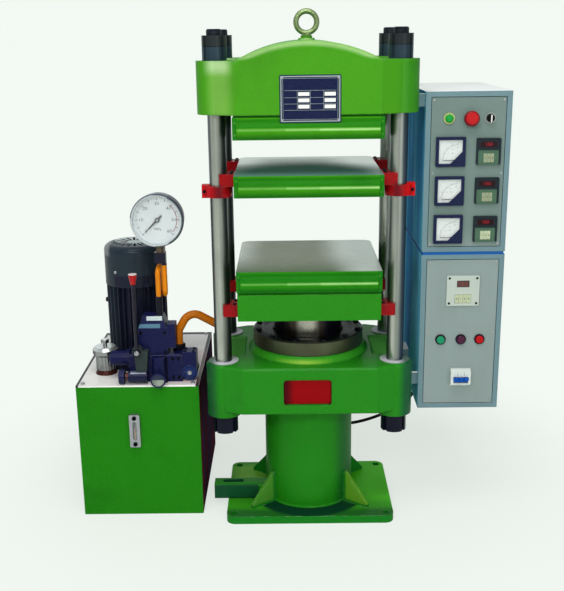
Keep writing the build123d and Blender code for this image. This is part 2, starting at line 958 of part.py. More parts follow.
# Centres of what stands on the lid
motor_place = (tank_left + motor_inset_x, tank_front + motor_inset_y)
filler_place = (tank_left + filler_inset_x, tank_front + filler_inset_y)
manifold_middle = tank_left + manifold_inset_x + manifold_width / 2
manifold_face = tank_front + manifold_front
manifold_left = manifold_middle - manifold_width / 2
manifold_right = manifold_middle + manifold_width / 2
manifold_top = lid_top + manifold_height

# Lid with the openings for the pump and the filler
with BuildPart() as tank_lid:
    with BuildSketch(Plane.XY.offset(tank_height)):
        with Locations((tank_middle, tank_front + tank_depth / 2)):
            Rectangle(tank_width, tank_depth)
        with Locations(motor_place):
            Circle(pump_bell_radius, mode=Mode.SUBTRACT)
        with Locations(filler_place):
            Circle(filler_tube_radius + fit_gap, mode=Mode.SUBTRACT)
    extrude(amount=lid_thickness)
tank_lid.part.label = "tank_lid"
export_step(tank_lid.part, "parts/tank_lid.step")

# Level gauge on the front of the tank
level_x = tank_left + level_inset
level_z = tank_height - level_drop - level_height / 2
with BuildPart() as level_gauge:
    with BuildSketch(front_plane(tank_front)):
        with Locations((level_x, level_z)):
            RectangleRounded(level_width, level_height, level_corner)
    extrude(amount=level_thickness)
    with BuildSketch(front_plane(tank_front - level_thickness)):
        with Locations((level_x, level_z)):
            SlotOverall(level_window_height, level_window_width, rotation=90)
    extrude(amount=-level_window_depth, mode=Mode.SUBTRACT)
level_gauge.part.label = "level_gauge"
export_step(level_gauge.part, "parts/level_gauge.step")

# Filler neck with its dip tube
with BuildPart() as filler_neck:
    with BuildSketch(Plane.XZ) as filler_profile:
        with BuildLine():
            Polyline(
                (filler_tube_radius - cap_wall, tank_height - filler_dip),
                (filler_tube_radius, tank_height - filler_dip),
                (filler_tube_radius, lid_top),
                (filler_base_radius, lid_top),
                (filler_neck_radius, lid_top + filler_base_height),
                (filler_neck_radius, lid_top + filler_base_height + filler_neck_height),
                (filler_tube_radius - cap_wall, lid_top + filler_base_height + filler_neck_height),
                close=True,
            )
        make_face()
    revolve(axis=Axis.Z)
filler_neck_part = filler_neck.part.moved(Location((*filler_place, 0)))
filler_neck_part.label = "filler_neck"
export_step(filler_neck_part, "parts/filler_neck.step")

# Breather cap over the neck, with a fluted skirt, a brim, a low dome and a knob
cap_bottom = lid_top + filler_base_height + seat_gap
cap_top = cap_bottom + cap_height
with BuildPart() as filler_cap:
    with BuildSketch(Plane.XZ):
        with BuildLine():
            Polyline(
                (filler_neck_radius + fit_gap, cap_bottom),
                (cap_skirt_radius, cap_bottom),
                (cap_skirt_radius, cap_top - cap_brim - cap_dome),
                (cap_radius, cap_top - cap_brim),
                (cap_radius, cap_top - cap_dome),
                (cap_radius - cap_dome, cap_top),
                (0, cap_top),
                (0, cap_bottom + filler_neck_height + seat_gap),
                (filler_neck_radius + fit_gap, cap_bottom + filler_neck_height + seat_gap),
                close=True,
            )
        make_face()
    revolve(axis=Axis.Z)
    with BuildSketch(Plane.XY.offset(cap_bottom)):
        with PolarLocations(cap_skirt_radius + cap_flute_radius / 2, cap_flutes):
            Circle(cap_flute_radius)
    extrude(amount=cap_height - cap_brim - cap_dome, mode=Mode.SUBTRACT)
    with BuildSketch(Plane.XY.offset(cap_top)):
        Circle(cap_knob_radius / 2)
    extrude(amount=cap_knob_height / 2)
    with BuildSketch(Plane.XY.offset(cap_top + cap_knob_height / 2)):
        Circle(cap_knob_radius)
    extrude(amount=cap_knob_height / 2)
    fillet(filler_cap.edges().filter_by(GeomType.CIRCLE).sort_by(Axis.Z)[-1], radius=cap_wall)
filler_cap_part = filler_cap.part.moved(Location((*filler_place, 0)))
filler_cap_part.label = "filler_cap"
export_step(filler_cap_part, "parts/filler_cap.step")

# Motor housing: flange, end bells, finned core and the terminal box at the back
core_bottom = lid_top + motor_flange_height + motor_bell_height
core_top = core_bottom + motor_fin_length
bell_top = core_top + motor_bell_height / 2
terminal_z = lid_top + terminal_lift
terminal_back = motor_fin_radius + terminal_depth
with BuildPart() as motor_housing:
    with BuildSketch(Plane.XY.offset(lid_top)):
        Circle(motor_flange_radius)
    extrude(amount=motor_flange_height)
    with BuildSketch(Plane.XY.offset(lid_top + motor_flange_height)):
        Circle(motor_bell_radius)
    with BuildSketch(Plane.XY.offset(core_bottom)):
        Circle(motor_core_radius)
    loft(ruled=True)
    with BuildSketch(Plane.XY.offset(core_bottom)):
        Circle(motor_core_radius)
        with PolarLocations((motor_core_radius - overrun + motor_fin_radius) / 2, motor_fin_count):
            Rectangle(motor_fin_radius - motor_core_radius + overrun, motor_fin_thickness)
    extrude(amount=motor_fin_length)
    with BuildSketch(Plane.XY.offset(core_top)):
        Circle(motor_bell_radius)
    extrude(amount=motor_bell_height / 2)
    with BuildSketch(front_plane(motor_core_radius)):
        with Locations((0, terminal_z + terminal_height / 2)):
            RectangleRounded(terminal_width, terminal_height, terminal_corner)
    extrude(amount=-(terminal_back - motor_core_radius))
    with BuildSketch(Plane.XY.offset(terminal_z)):
        with Locations((0, terminal_back - terminal_depth / 2)):
            Circle(cable_gland_radius)
    extrude(amount=-cable_gland_length)
    with BuildSketch(Plane.XY.offset(core_bottom)):
        Circle(motor_bore_radius)
    extrude(amount=motor_fin_length - motor_wall, mode=Mode.SUBTRACT)
    with BuildSketch(Plane.XY.offset(lid_top)):
        Circle(shaft_radius + fit_gap)
    extrude(amount=bell_top - lid_top, mode=Mode.SUBTRACT)
motor_housing_part = motor_housing.part.moved(Location((*motor_place, 0)))
motor_housing_part.label = "motor_housing"
export_step(motor_housing_part, "parts/motor_housing.step")

# Fan cover, lapped over the upper ends of the fins, with radial slots in its top
cover_bottom = core_top - fan_cover_lap
cover_top = cover_bottom + fan_cover_height
with BuildPart() as fan_cover:
    with BuildSketch(Plane.XY.offset(cover_bottom)):
        Circle(fan_cover_radius)
    extrude(amount=fan_cover_height)
    fillet(fan_cover.edges().filter_by(GeomType.CIRCLE).sort_by(Axis.Z)[-1], radius=fan_cover_shoulder)
    offset(amount=-fan_cover_wall, openings=fan_cover.faces().sort_by(Axis.Z)[0])
    with BuildSketch(Plane.XY.offset(cover_top)):
        with PolarLocations((fan_slot_inner + fan_slot_outer) / 2, fan_slot_count):
            SlotOverall(fan_slot_outer - fan_slot_inner, fan_slot_width)
    extrude(amount=-2 * fan_cover_wall, mode=Mode.SUBTRACT)
fan_cover_part = fan_cover.part.moved(Location((*motor_place, 0)))
fan_cover_part.label = "fan_cover"
export_step(fan_cover_part, "parts/fan_cover.step")

# Rotor: shaft, laminated core and fan
fan_bottom = bell_top + fan_lift
with BuildPart() as motor_rotor:
    with BuildSketch(Plane.XY.offset(tank_height - pump_shaft_depth)):
        Circle(shaft_radius)
    extrude(amount=fan_bottom + fan_height - tank_height + pump_shaft_depth)
    with BuildSketch(Plane.XY.offset(core_bottom + rotor_lift)):
        Circle(rotor_radius)
    extrude(amount=rotor_length)
    with BuildSketch(Plane.XY.offset(fan_bottom)):
        Circle(fan_hub_radius)
    extrude(amount=fan_height)
    with BuildSketch(Plane.XY.offset(fan_bottom)):
        with PolarLocations((fan_hub_radius + fan_radius) / 2 - fan_blade_thickness, fan_blades):
            Rectangle(fan_radius - fan_hub_radius + 2 * fan_blade_thickness, fan_blade_thickness)
    extrude(amount=fan_height)
motor_rotor_part = motor_rotor.part.moved(Location((*motor_place, 0)))
motor_rotor_part.label = "motor_rotor"
export_step(motor_rotor_part, "parts/motor_rotor.step")

# Gear pump that hangs below the motor, with its suction tube and strainer
pump_top = lid_top
pump_body_top = tank_height - pump_bell_height
pump_body_bottom = pump_body_top - pump_height
with BuildPart() as oil_pump:
    with BuildSketch(Plane.XY.offset(pump_body_top)):
        Circle(pump_bell_radius - fit_gap)
    extrude(amount=pump_top - pump_body_top)
    with BuildSketch(Plane.XY.offset(pump_body_bottom)):
        RectangleRounded(pump_width, pump_depth, terminal_corner)
    extrude(amount=pump_height)
    with BuildSketch(Plane.XY.offset(pump_body_bottom)):
        Circle(strainer_tube_radius)
    extrude(amount=-strainer_tube_length)
    with BuildSketch(Plane.XY.offset(pump_body_bottom - strainer_tube_length)):
        Circle(strainer_radius)
    extrude(amount=-strainer_height)
    with BuildSketch(Plane.XY.offset(pump_top)):
        Circle(shaft_radius + fit_gap)
    extrude(amount=-(pump_shaft_depth + lid_thickness + seat_gap), mode=Mode.SUBTRACT)
oil_pump_part = oil_pump.part.moved(Location((*motor_place, 0)))
oil_pump_part.label = "oil_pump"
export_step(oil_pump_part, "parts/oil_pump.step")

# Places of the valves and the gauge
throttle_x = manifold_middle + throttle_body_shift
throttle_z = lid_top + throttle_height
knob_back = tank_front - throttle_knob_clear
relief_y = manifold_face - relief_radius
relief_z = lid_top + relief_height
relief_right = manifold_left + relief_length
cock_x = manifold_right + cock_block_width / 2
cock_z = lid_top + cock_height
solenoid_left = manifold_left + solenoid_inset
solenoid_front = manifold_face + solenoid_back
solenoid_top = manifold_top + solenoid_height
cap_face = solenoid_top + solenoid_cap_height
gauge_x = manifold_left + gauge_shift
gauge_z = lid_top + gauge_rise
gauge_face = manifold_face - gauge_front
stem_y = gauge_face + stem_from_face
stem_bottom = gauge_z - gauge_radius - stem_neck_height - stem_block_height
riser_x = gauge_x - siphon_leg_spacing / 2
riser_top = cap_face + riser_height
siphon_top = stem_bottom - siphon_top_gap
siphon_bottom = siphon_top - siphon_loop_height

# Valve manifold, with the throttle boss, the end cock and the side coil
with BuildPart() as manifold_block:
    with BuildSketch(Plane.XY.offset(lid_top)):
        with Locations((manifold_middle, manifold_face + manifold_depth / 2)):
            Rectangle(manifold_width, manifold_depth)
    extrude(amount=manifold_height)
    chamfer(manifold_block.edges().group_by(Axis.Z)[-1], length=manifold_chamfer)
    with BuildSketch(Plane.XY.offset(lid_top)):
        with Locations((throttle_x, manifold_face)):
            Circle(throttle_body_radius)
    extrude(amount=manifold_height - manifold_chamfer)
    with BuildSketch(front_plane(manifold_face - throttle_body_radius - overrun)):
        with Locations((throttle_x, throttle_z)):
            Circle(throttle_stem_radius + fit_gap)
    stem_hole_depth = throttle_stem_length - (manifold_face - throttle_body_radius - knob_back)
    extrude(amount=-(stem_hole_depth + overrun + seat_gap), mode=Mode.SUBTRACT)
    with BuildSketch(side_plane(manifold_left)):
        with Locations((manifold_face + manifold_depth / 2, lid_top + coil_height)):
            Circle(coil_radius)
    extrude(amount=-coil_length)
    with BuildSketch(side_plane(manifold_left)):
        with Locations((manifold_face + manifold_depth / 2, lid_top + coil_height)):
            Circle(coil_flange_radius)
    extrude(amount=-coil_flange_length)
    with BuildSketch(front_plane(manifold_face + manifold_depth - manifold_chamfer)):
        with Locations((cock_x, cock_z)):
            Circle(cock_radius)
    extrude(amount=cock_length)
    cock_front = manifold_face + manifold_depth - manifold_chamfer - cock_length
    with BuildSketch(front_plane(cock_front)):
        with Locations((cock_x, cock_z)):
            Circle(cock_face_radius)
            Circle(cock_face_radius / 2, mode=Mode.SUBTRACT)
    extrude(amount=-cock_face_depth, mode=Mode.SUBTRACT)
    with BuildSketch(Plane.XY.offset(cock_z)):
        with Locations((cock_x, manifold_face + cock_block_depth / 2 + manifold_chamfer)):
            Rectangle(cock_block_width, cock_block_depth)
    extrude(amount=cock_radius + cock_block_height)
manifold_block.part.label = "manifold_block"
export_step(manifold_block.part, "parts/manifold_block.step")

# Solenoid valve on the manifold, with its sloped cap, side box and the riser of the gauge
with BuildPart() as solenoid_valve:
    solenoid_middle = (solenoid_left + solenoid_width / 2, solenoid_front + solenoid_depth / 2)
    with BuildSketch(Plane.XY.offset(manifold_top)):
        with Locations(solenoid_middle):
            Rectangle(solenoid_width, solenoid_depth)
    extrude(amount=solenoid_height)
    with BuildSketch(Plane.XY.offset(solenoid_top)):
        with Locations(solenoid_middle):
            Rectangle(solenoid_width, solenoid_depth)
    with BuildSketch(Plane.XY.offset(cap_face)):
        with Locations(solenoid_middle):
            Rectangle(solenoid_width - 2 * solenoid_cap_taper, solenoid_depth - 2 * solenoid_cap_taper)
    loft()
    with BuildSketch(Plane.XY.offset(manifold_top + solenoid_side_lift)):
        with Locations(
            (
                solenoid_left + solenoid_width + solenoid_side_width / 2,
                solenoid_front + solenoid_side_depth / 2,
            )
        ):
            Rectangle(solenoid_side_width, solenoid_side_depth)
    extrude(amount=solenoid_side_height)
    with BuildSketch(Plane.XY.offset(cap_face)):
        with Locations((riser_x, stem_y)):
            Circle(riser_radius)
    extrude(amount=riser_height)
solenoid_valve.part.label = "solenoid_valve"
export_step(solenoid_valve.part, "parts/solenoid_valve.step")

# Relief valve lying across the front of the manifold
with BuildPart() as relief_valve:
    with BuildSketch(side_plane(relief_right)):
        with Locations((relief_y, relief_z)):
            Circle(relief_radius)
    extrude(amount=-relief_length)
    with BuildSketch(front_plane(manifold_face)):
        with Locations((relief_right - relief_length / 2, relief_z)):
            Rectangle(relief_pad_width, relief_pad_height)
    extrude(amount=relief_radius)
    with BuildSketch(side_plane(manifold_left)):
        with Locations((relief_y, relief_z)):
            Circle(relief_collar_radius)
    extrude(amount=-relief_collar_length)
    with BuildSketch(side_plane(manifold_left - relief_collar_length)):
        with Locations((relief_y, relief_z)):
            Circle(stem_radius + fit_gap)
    extrude(amount=relief_stem_depth + seat_gap, mode=Mode.SUBTRACT)
relief_valve.part.label = "relief_valve"
export_step(relief_valve.part, "parts/relief_valve.step")

# Handwheel of the relief valve
wheel_right = manifold_left - relief_collar_length - handwheel_gap
with BuildPart() as relief_handwheel:
    with BuildSketch(side_plane(wheel_right)):
        with Locations((relief_y, relief_z)):
            Circle(handwheel_radius)
            with PolarLocations(handwheel_radius + handwheel_flute_radius / 2, handwheel_flutes):
                Circle(handwheel_flute_radius, mode=Mode.SUBTRACT)
    extrude(amount=-handwheel_width)
    with BuildSketch(side_plane(wheel_right)):
        with Locations((relief_y, relief_z)):
            Circle(stem_radius)
    extrude(amount=handwheel_gap + relief_stem_depth)
relief_handwheel.part.label = "relief_handwheel"
export_step(relief_handwheel.part, "parts/relief_handwheel.step")

# Throttle knob in front of the tank's edge
with BuildPart() as throttle_knob:
    with BuildSketch(front_plane(knob_back)):
        with Locations((throttle_x, throttle_z)):
            Circle(throttle_knob_radius)
            with PolarLocations(throttle_knob_radius + knob_flute_radius / 2, knob_flutes):
                Circle(knob_flute_radius, mode=Mode.SUBTRACT)
    extrude(amount=throttle_knob_length)
    with BuildSketch(front_plane(knob_back - throttle_knob_length)):
        with Locations((throttle_x, throttle_z)):
            Circle(throttle_face_radius)
    extrude(amount=-throttle_face_dish, mode=Mode.SUBTRACT)
    with BuildSketch(front_plane(knob_back)):
        with Locations((throttle_x, throttle_z)):
            Circle(throttle_stem_radius)
    extrude(amount=-throttle_stem_length)
throttle_knob.part.label = "throttle_knob"
export_step(throttle_knob.part, "parts/throttle_knob.step")

# Hand valve on the manifold's face, above the relief valve
hand_x = manifold_left + hand_valve_inset
hand_bottom = relief_z + relief_radius + seat_gap
hand_top = hand_bottom + hand_valve_height
hand_face = manifold_face - hand_valve_depth
pivot_x = hand_x - pivot_shift
pivot_z = hand_top - pivot_drop
with BuildPart() as hand_valve:
    with BuildSketch(front_plane(manifold_face)):
        Polygon(
            (hand_x - hand_valve_foot_width / 2, hand_bottom),
            (hand_x + hand_valve_foot_width / 2, hand_bottom),
            (hand_x + hand_valve_width / 2, hand_top),
            (hand_x - hand_valve_width / 2, hand_top),
            align=None,
        )
        with Locations((pivot_x, pivot_z)):
            Circle(pivot_radius)
    extrude(amount=hand_valve_depth)
    with BuildSketch(front_plane(hand_face)):
        with Locations((pivot_x, pivot_z)):
            Circle(pivot_pin_radius)
    extrude(amount=pivot_pin_length)
hand_valve.part.label = "hand_valve"
export_step(hand_valve.part, "parts/hand_valve.step")

# Lever of the hand valve, with a tapered grip and a band on its end
lever_back = hand_face - seat_gap
grip_bottom = pivot_z + lever_reach
with BuildPart() as valve_lever:
    with BuildSketch(front_plane(lever_back)):
        with Locations((pivot_x, pivot_z)):
            Circle(lever_hub_radius)
            Circle(pivot_pin_radius + fit_gap, mode=Mode.SUBTRACT)
    extrude(amount=lever_hub_length)
    with BuildSketch(Plane.XY.offset(grip_bottom)):
        with Locations((pivot_x, lever_back - lever_hub_length / 2)):
            Circle(lever_bar_radius)
    extrude(amount=-(lever_reach - (lever_hub_radius + pivot_pin_radius) / 2))
    with BuildSketch(Plane.XY.offset(grip_bottom)):
        with Locations((pivot_x, lever_back - lever_hub_length / 2)):
            Circle(lever_knob_neck)
    with BuildSketch(Plane.XY.offset(grip_bottom + lever_knob_length - lever_knob_band)):
        with Locations((pivot_x, lever_back - lever_hub_length / 2)):
            Circle(lever_knob_radius)
    loft(ruled=True)
    with BuildSketch(Plane.XY.offset(grip_bottom + lever_knob_length - lever_knob_band)):
        with Locations((pivot_x, lever_back - lever_hub_length / 2)):
            Circle(lever_knob_radius)
    extrude(amount=lever_knob_band)
valve_lever.part.label = "valve_lever"
export_step(valve_lever.part, "parts/valve_lever.step")

# Pressure gauge case with its bezel, dial floor and needle pin
dial_floor = gauge_face + gauge_dial_depth
with BuildPart() as gauge_case:
    with BuildSketch(front_plane(gauge_face + gauge_depth)):
        with Locations((gauge_x, gauge_z)):
            Circle(gauge_radius - gauge_wall)
    extrude(amount=gauge_depth - gauge_bezel_depth)
    with BuildSketch(front_plane(gauge_face + gauge_bezel_depth)):
        with Locations((gauge_x, gauge_z)):
            Circle(gauge_radius)
    extrude(amount=gauge_bezel_depth)
    fillet(gauge_case.edges().filter_by(GeomType.CIRCLE).sort_by(Axis.Y)[0], radius=gauge_wall)
    with BuildSketch(front_plane(gauge_face)):
        with Locations((gauge_x, gauge_z)):
            Circle(gauge_radius - gauge_bezel_width)
    extrude(amount=-gauge_dial_depth, mode=Mode.SUBTRACT)
    with BuildSketch(front_plane(dial_floor)):
        with Locations((gauge_x, gauge_z)):
            Circle(gauge_pin_radius)
    extrude(amount=gauge_pin_length)
gauge_case.part.label = "gauge_case"
export_step(gauge_case.part, "parts/gauge_case.step")

# Gauge needle at zero, pointing down to the left
with BuildPart() as gauge_needle:
    with BuildSketch(Plane.XY) as needle_plan:
        Circle(needle_hub_radius)
        Polygon(
            (0, -needle_width),
            (needle_length, -needle_width / 8),
            (needle_length, needle_width / 8),
            (0, needle_width),
            (-needle_tail, needle_width / 2),
            (-needle_tail, -needle_width / 2),
            align=None,
        )
        Circle(gauge_pin_radius + fit_gap, mode=Mode.SUBTRACT)
    extrude(amount=needle_thickness)
needle_plane = Plane(
    origin=(gauge_x, dial_floor - needle_lift, gauge_z),
    x_dir=(math.cos(math.radians(needle_rest_angle)), 0, math.sin(math.radians(needle_rest_angle))),
    z_dir=(0, -1, 0),
)
gauge_needle_part = gauge_needle.part.moved(needle_plane.location)
gauge_needle_part.label = "gauge_needle"
export_step(gauge_needle_part, "parts/gauge_needle.step")

# Siphon pipe of the gauge, one loop seen from its edge, with the stem block above it
loop_back = stem_y + siphon_loop_depth
leg_right = riser_x + siphon_leg_spacing
with BuildPart() as gauge_siphon:
    with BuildLine():
        FilletPolyline(
            (riser_x, stem_y, riser_top),
            (riser_x, stem_y, siphon_top),
            (gauge_x, loop_back, siphon_top),
            (gauge_x, loop_back, siphon_bottom),
            (leg_right, stem_y, siphon_bottom),
            (leg_right, stem_y, stem_bottom),
            radius=siphon_bend_radius,
        )
    with BuildSketch(Plane.XY.offset(riser_top)):
        with Locations((riser_x, stem_y)):
            Circle(siphon_pipe_radius)
    sweep()
    with BuildSketch(Plane.XY.offset(stem_bottom)):
        with Locations((gauge_x, stem_y)):
            Rectangle(stem_block_width, stem_block_depth)
    extrude(amount=stem_block_height)
    with BuildSketch(Plane.XY.offset(stem_bottom + stem_block_height)):
        with Locations((gauge_x, stem_y)):
            Circle(stem_neck_radius)
    extrude(amount=stem_neck_height + overrun)
    with BuildSketch(front_plane(gauge_face + gauge_depth + overrun)):
        with Locations((gauge_x, gauge_z)):
            Circle(gauge_radius - gauge_wall)
    extrude(amount=gauge_depth + 2 * overrun, mode=Mode.SUBTRACT)
gauge_siphon.part.label = "gauge_siphon"
export_step(gauge_siphon.part, "parts/gauge_siphon.step")

# Steel pressure pipe from the manifold over to the side of the lower beam
pipe_start = (manifold_right - pipe_inset_x, manifold_face + manifold_depth - pipe_inset_y)
pipe_far_x = -body_half_width - pipe_far_reach
pipe_port_z = beam_top - pipe_port_rise
with BuildPart() as pressure_pipe:
    with BuildLine() as pipe_route:
        FilletPolyline(
            (*pipe_start, manifold_top),
            (*pipe_start, manifold_top + pipe_first_rise),
            (pipe_start[0] + pipe_peak_shift, pipe_start[1] / 2, manifold_top + pipe_peak_rise),
            (pipe_far_x, 0, manifold_top + pipe_far_rise),
            (pipe_far_x, 0, pipe_port_z),
            (-body_half_width, 0, pipe_port_z),
            radius=pipe_bend_radius,
        )
    with BuildSketch(Plane.XY.offset(manifold_top)):
        with Locations(pipe_start):
            Circle(pipe_radius)
    sweep()
    with BuildSketch(side_plane(-body_half_width)):
        with Locations((0, pipe_port_z)):
            RegularPolygon(pipe_nut_radius, pipe_nut_sides)
    extrude(amount=-pipe_nut_length)
pressure_pipe.part.label = "pressure_pipe"
export_step(pressure_pipe.part, "parts/pressure_pipe.step")

# Steel boxes for the electric controls, open at the front behind a rim
saddle_left = column_x + boss_radius - saddle_lap
saddle_spans = (
    (box_front + box_rim, -column_y + saddle_length / 2),
    (column_y - saddle_length / 2, column_y + saddle_length / 2),
)
box_gland_place = (box_left + box_gland_side, box_front + box_gland_back)


def control_box(bottom, height, saddle_bottom):
    """Steel box with a rim, a ledge behind its panel and saddles against the ears."""
    middle = (box_middle, bottom + height / 2)
    with BuildPart() as shell:
        with BuildSketch(Plane.XY.offset(bottom)):
            with Locations((box_middle, box_front + box_depth / 2)):
                Rectangle(box_width, box_depth)
        extrude(amount=height)
        with BuildSketch(Plane.XY.offset(saddle_bottom)):
            for near, far in saddle_spans:
                with Locations(((saddle_left + box_left + box_wall / 2) / 2, (near + far) / 2)):
                    Rectangle(box_left + box_wall / 2 - saddle_left, far - near)
            with Locations(*column_places):
                Circle(boss_radius, mode=Mode.SUBTRACT)
        extrude(amount=saddle_height)
        with BuildSketch(front_plane(box_front + ledge_depth)):
            with Locations(middle):
                Rectangle(box_width - 2 * box_wall, height - 2 * box_wall)
        extrude(amount=-(box_depth - ledge_depth - box_wall), mode=Mode.SUBTRACT)
        with BuildSketch(front_plane(box_front)):
            with Locations(middle):
                Rectangle(box_width - 2 * box_rim, height - 2 * box_rim)
        extrude(amount=-(panel_recess + panel_thickness), mode=Mode.SUBTRACT)
        with BuildSketch(front_plane(box_front)):
            with Locations(middle):
                Rectangle(box_width - 2 * (box_rim + box_ledge), height - 2 * (box_rim + box_ledge))
        extrude(amount=-ledge_depth, mode=Mode.SUBTRACT)
    return shell.part


# Lower box, with the distance piece on its top and the cable gland under it
with BuildPart() as lower_box:
    add(control_box(lower_box_bottom, lower_box_height, lower_box_bottom + lower_saddle_lift))
    with BuildSketch(Plane.XY.offset(lower_box_top)):
        with Locations((box_middle, box_front + box_depth / 2)):
            Rectangle(box_width - 2 * joint_inset, box_depth - 2 * joint_inset)
    extrude(amount=box_joint_gap)
    with BuildSketch(Plane.XY.offset(lower_box_bottom)):
        with Locations(box_gland_place):
            Circle(cable_gland_radius)
    extrude(amount=-cable_gland_length)
lower_box.part.label = "lower_box"
export_step(lower_box.part, "parts/lower_box.step")

# Upper box
upper_box = control_box(upper_box_bottom, upper_box_height, upper_box_top - upper_saddle_drop)
upper_box.label = "upper_box"
export_step(upper_box, "parts/upper_box.step")

# Places of the instruments
control_z = upper_box_top - control_row_drop
button_z = lower_box_top - button_drop
meter_heights = [upper_box_top - meter_first_drop - row * meter_pitch for row in range(3)]
meter_places = [(box_left + meter_column, z) for z in meter_heights]
controller_places = [(box_left + controller_column, z) for z in meter_heights]
lamp_places = [(box_left + column, control_z) for column in lamp_columns]
button_places = [(box_left + column, button_z) for column in button_columns]
timer_place = (box_left + timer_column, lower_box_top - timer_drop)
breaker_place = (box_left + breaker_column, lower_box_top - breaker_drop)
bezel_face = panel_front - bezel_proud

# Two instrument panels let into the rims, with the holes of everything they carry
with BuildPart() as box_panels:
    with BuildSketch(front_plane(panel_front)):
        for bottom, height in (
            (lower_box_bottom, lower_box_height),
            (upper_box_bottom, upper_box_height),
        ):
            with Locations((box_middle, bottom + height / 2)):
                Rectangle(box_width - 2 * (box_rim + fit_gap), height - 2 * (box_rim + fit_gap))
        with Locations(*meter_places):
            Circle(meter_body_radius + fit_gap, mode=Mode.SUBTRACT)
        with Locations(*controller_places):
            Rectangle(
                controller_body_size + 2 * fit_gap,
                controller_body_size + 2 * fit_gap,
                mode=Mode.SUBTRACT,
            )
        with Locations(*lamp_places, *button_places):
            Circle(bezel_body_radius + fit_gap, mode=Mode.SUBTRACT)
        with Locations(timer_place):
            Rectangle(timer_body_size + 2 * fit_gap, timer_body_size + 2 * fit_gap, mode=Mode.SUBTRACT)
        with Locations(breaker_place):
            Rectangle(
                breaker_width - 2 * (breaker_body_inset - fit_gap),
                breaker_height - 2 * (breaker_body_inset - fit_gap),
                mode=Mode.SUBTRACT,
            )
    extrude(amount=-panel_thickness)
box_panels.part.label = "box_panels"
export_step(box_panels.part, "parts/box_panels.step")

# Three square ammeters, each with a dished dial, a pivot pin and a cover over the pivot
meter_face = panel_front - meter_proud
meter_floor = meter_face + meter_dish
meter_offset = meter_pivot_share * meter_size
meter_inner = meter_size - 2 * meter_rim
pivot_places = [(x + meter_offset, z - meter_offset) for x, z in meter_places]
with BuildPart() as ammeters:
    with BuildSketch(front_plane(panel_front)):
        with Locations(*meter_places):
            RectangleRounded(meter_size, meter_size, meter_corner)
    extrude(amount=meter_proud)
    with BuildSketch(front_plane(meter_face)):
        with Locations(*meter_places):
            Rectangle(meter_inner, meter_inner)
    extrude(amount=-meter_dish, mode=Mode.SUBTRACT)
    with BuildSketch(front_plane(panel_front)):
        with Locations(*meter_places):
            Circle(meter_body_radius)
    extrude(amount=-meter_body_depth)
    with BuildSketch(front_plane(meter_floor)):
        with Locations(*pivot_places):
            Circle(meter_pin_radius)
    extrude(amount=meter_dish)
    with BuildSketch(front_plane(meter_face)):
        for corner_x, corner_z in [(x + meter_inner / 2, z - meter_inner / 2) for x, z in meter_places]:
            Polygon(
                (corner_x, corner_z),
                (corner_x, corner_z + meter_cover_size),
                (corner_x - meter_cover_size, corner_z),
                align=None,
            )
    extrude(amount=-meter_cover_thickness)
ammeters.part.label = "ammeters"
export_step(ammeters.part, "parts/ammeters.step")

# Their needles, at rest on zero at the left end of the scale
for row, (pivot_at_x, pivot_at_z) in enumerate(pivot_places):
    with BuildPart() as meter_needle:
        with BuildSketch(front_plane(meter_floor - meter_needle_lift)):
            with Locations((pivot_at_x, pivot_at_z)):
                Circle(meter_hub_radius)
            with Locations((pivot_at_x - meter_needle_length / 2, pivot_at_z)):
                Rectangle(meter_needle_length, meter_needle_width)
            with Locations((pivot_at_x, pivot_at_z)):
                Circle(meter_pin_radius + fit_gap, mode=Mode.SUBTRACT)
        extrude(amount=meter_needle_thickness)
    needle_name = f"ammeter_needle_{row + 1}"
    meter_needle.part.label = needle_name
    export_step(meter_needle.part, f"parts/{needle_name}.step")

# Three temperature controllers with a dished front and a bar across it
controller_face = panel_front - controller_proud
controller_inner_width = controller_width - 2 * controller_rim
controller_inner_height = controller_size - 2 * controller_rim
split_rise = controller_split_share * controller_size
with BuildPart() as controllers:
    with BuildSketch(front_plane(panel_front)):
        with Locations(*controller_places):
            RectangleRounded(controller_width, controller_size, meter_corner)
    extrude(amount=controller_proud)
    with BuildSketch(front_plane(controller_face)):
        with Locations(*controller_places):
            Rectangle(controller_inner_width, controller_inner_height)
    extrude(amount=-controller_dish, mode=Mode.SUBTRACT)
    with BuildSketch(front_plane(controller_face)):
        with Locations(*[(x, z + split_rise) for x, z in controller_places]):
            Rectangle(controller_inner_width, controller_bar)
    extrude(amount=-controller_dish)
    with BuildSketch(front_plane(panel_front)):
        with Locations(*controller_places):
            Rectangle(controller_body_size, controller_body_size)
    extrude(amount=-controller_body_depth)
controllers.part.label = "controllers"
export_step(controllers.part, "parts/controllers.step")

# Timer with a display window above a row of thumbwheels
timer_face = panel_front - timer_proud
with BuildPart() as timer:
    with BuildSketch(front_plane(panel_front)):
        with Locations(timer_place):
            RectangleRounded(timer_width, timer_height, meter_corner)
    extrude(amount=timer_proud)
    with BuildSketch(front_plane(timer_face)):
        with Locations((timer_place[0], timer_place[1] + timer_window_rise)):
            Rectangle(timer_window_width, timer_window_height)
        with Locations((timer_place[0], timer_place[1] - timer_wheel_drop)):
            Rectangle(timer_wheel_width, timer_wheel_height)
    extrude(amount=-timer_dish, mode=Mode.SUBTRACT)
    with BuildSketch(front_plane(panel_front)):
        with Locations(timer_place):
            Rectangle(timer_body_size, timer_body_size)
    extrude(amount=-timer_body_depth)
timer.part.label = "timer"
export_step(timer.part, "parts/timer.step")

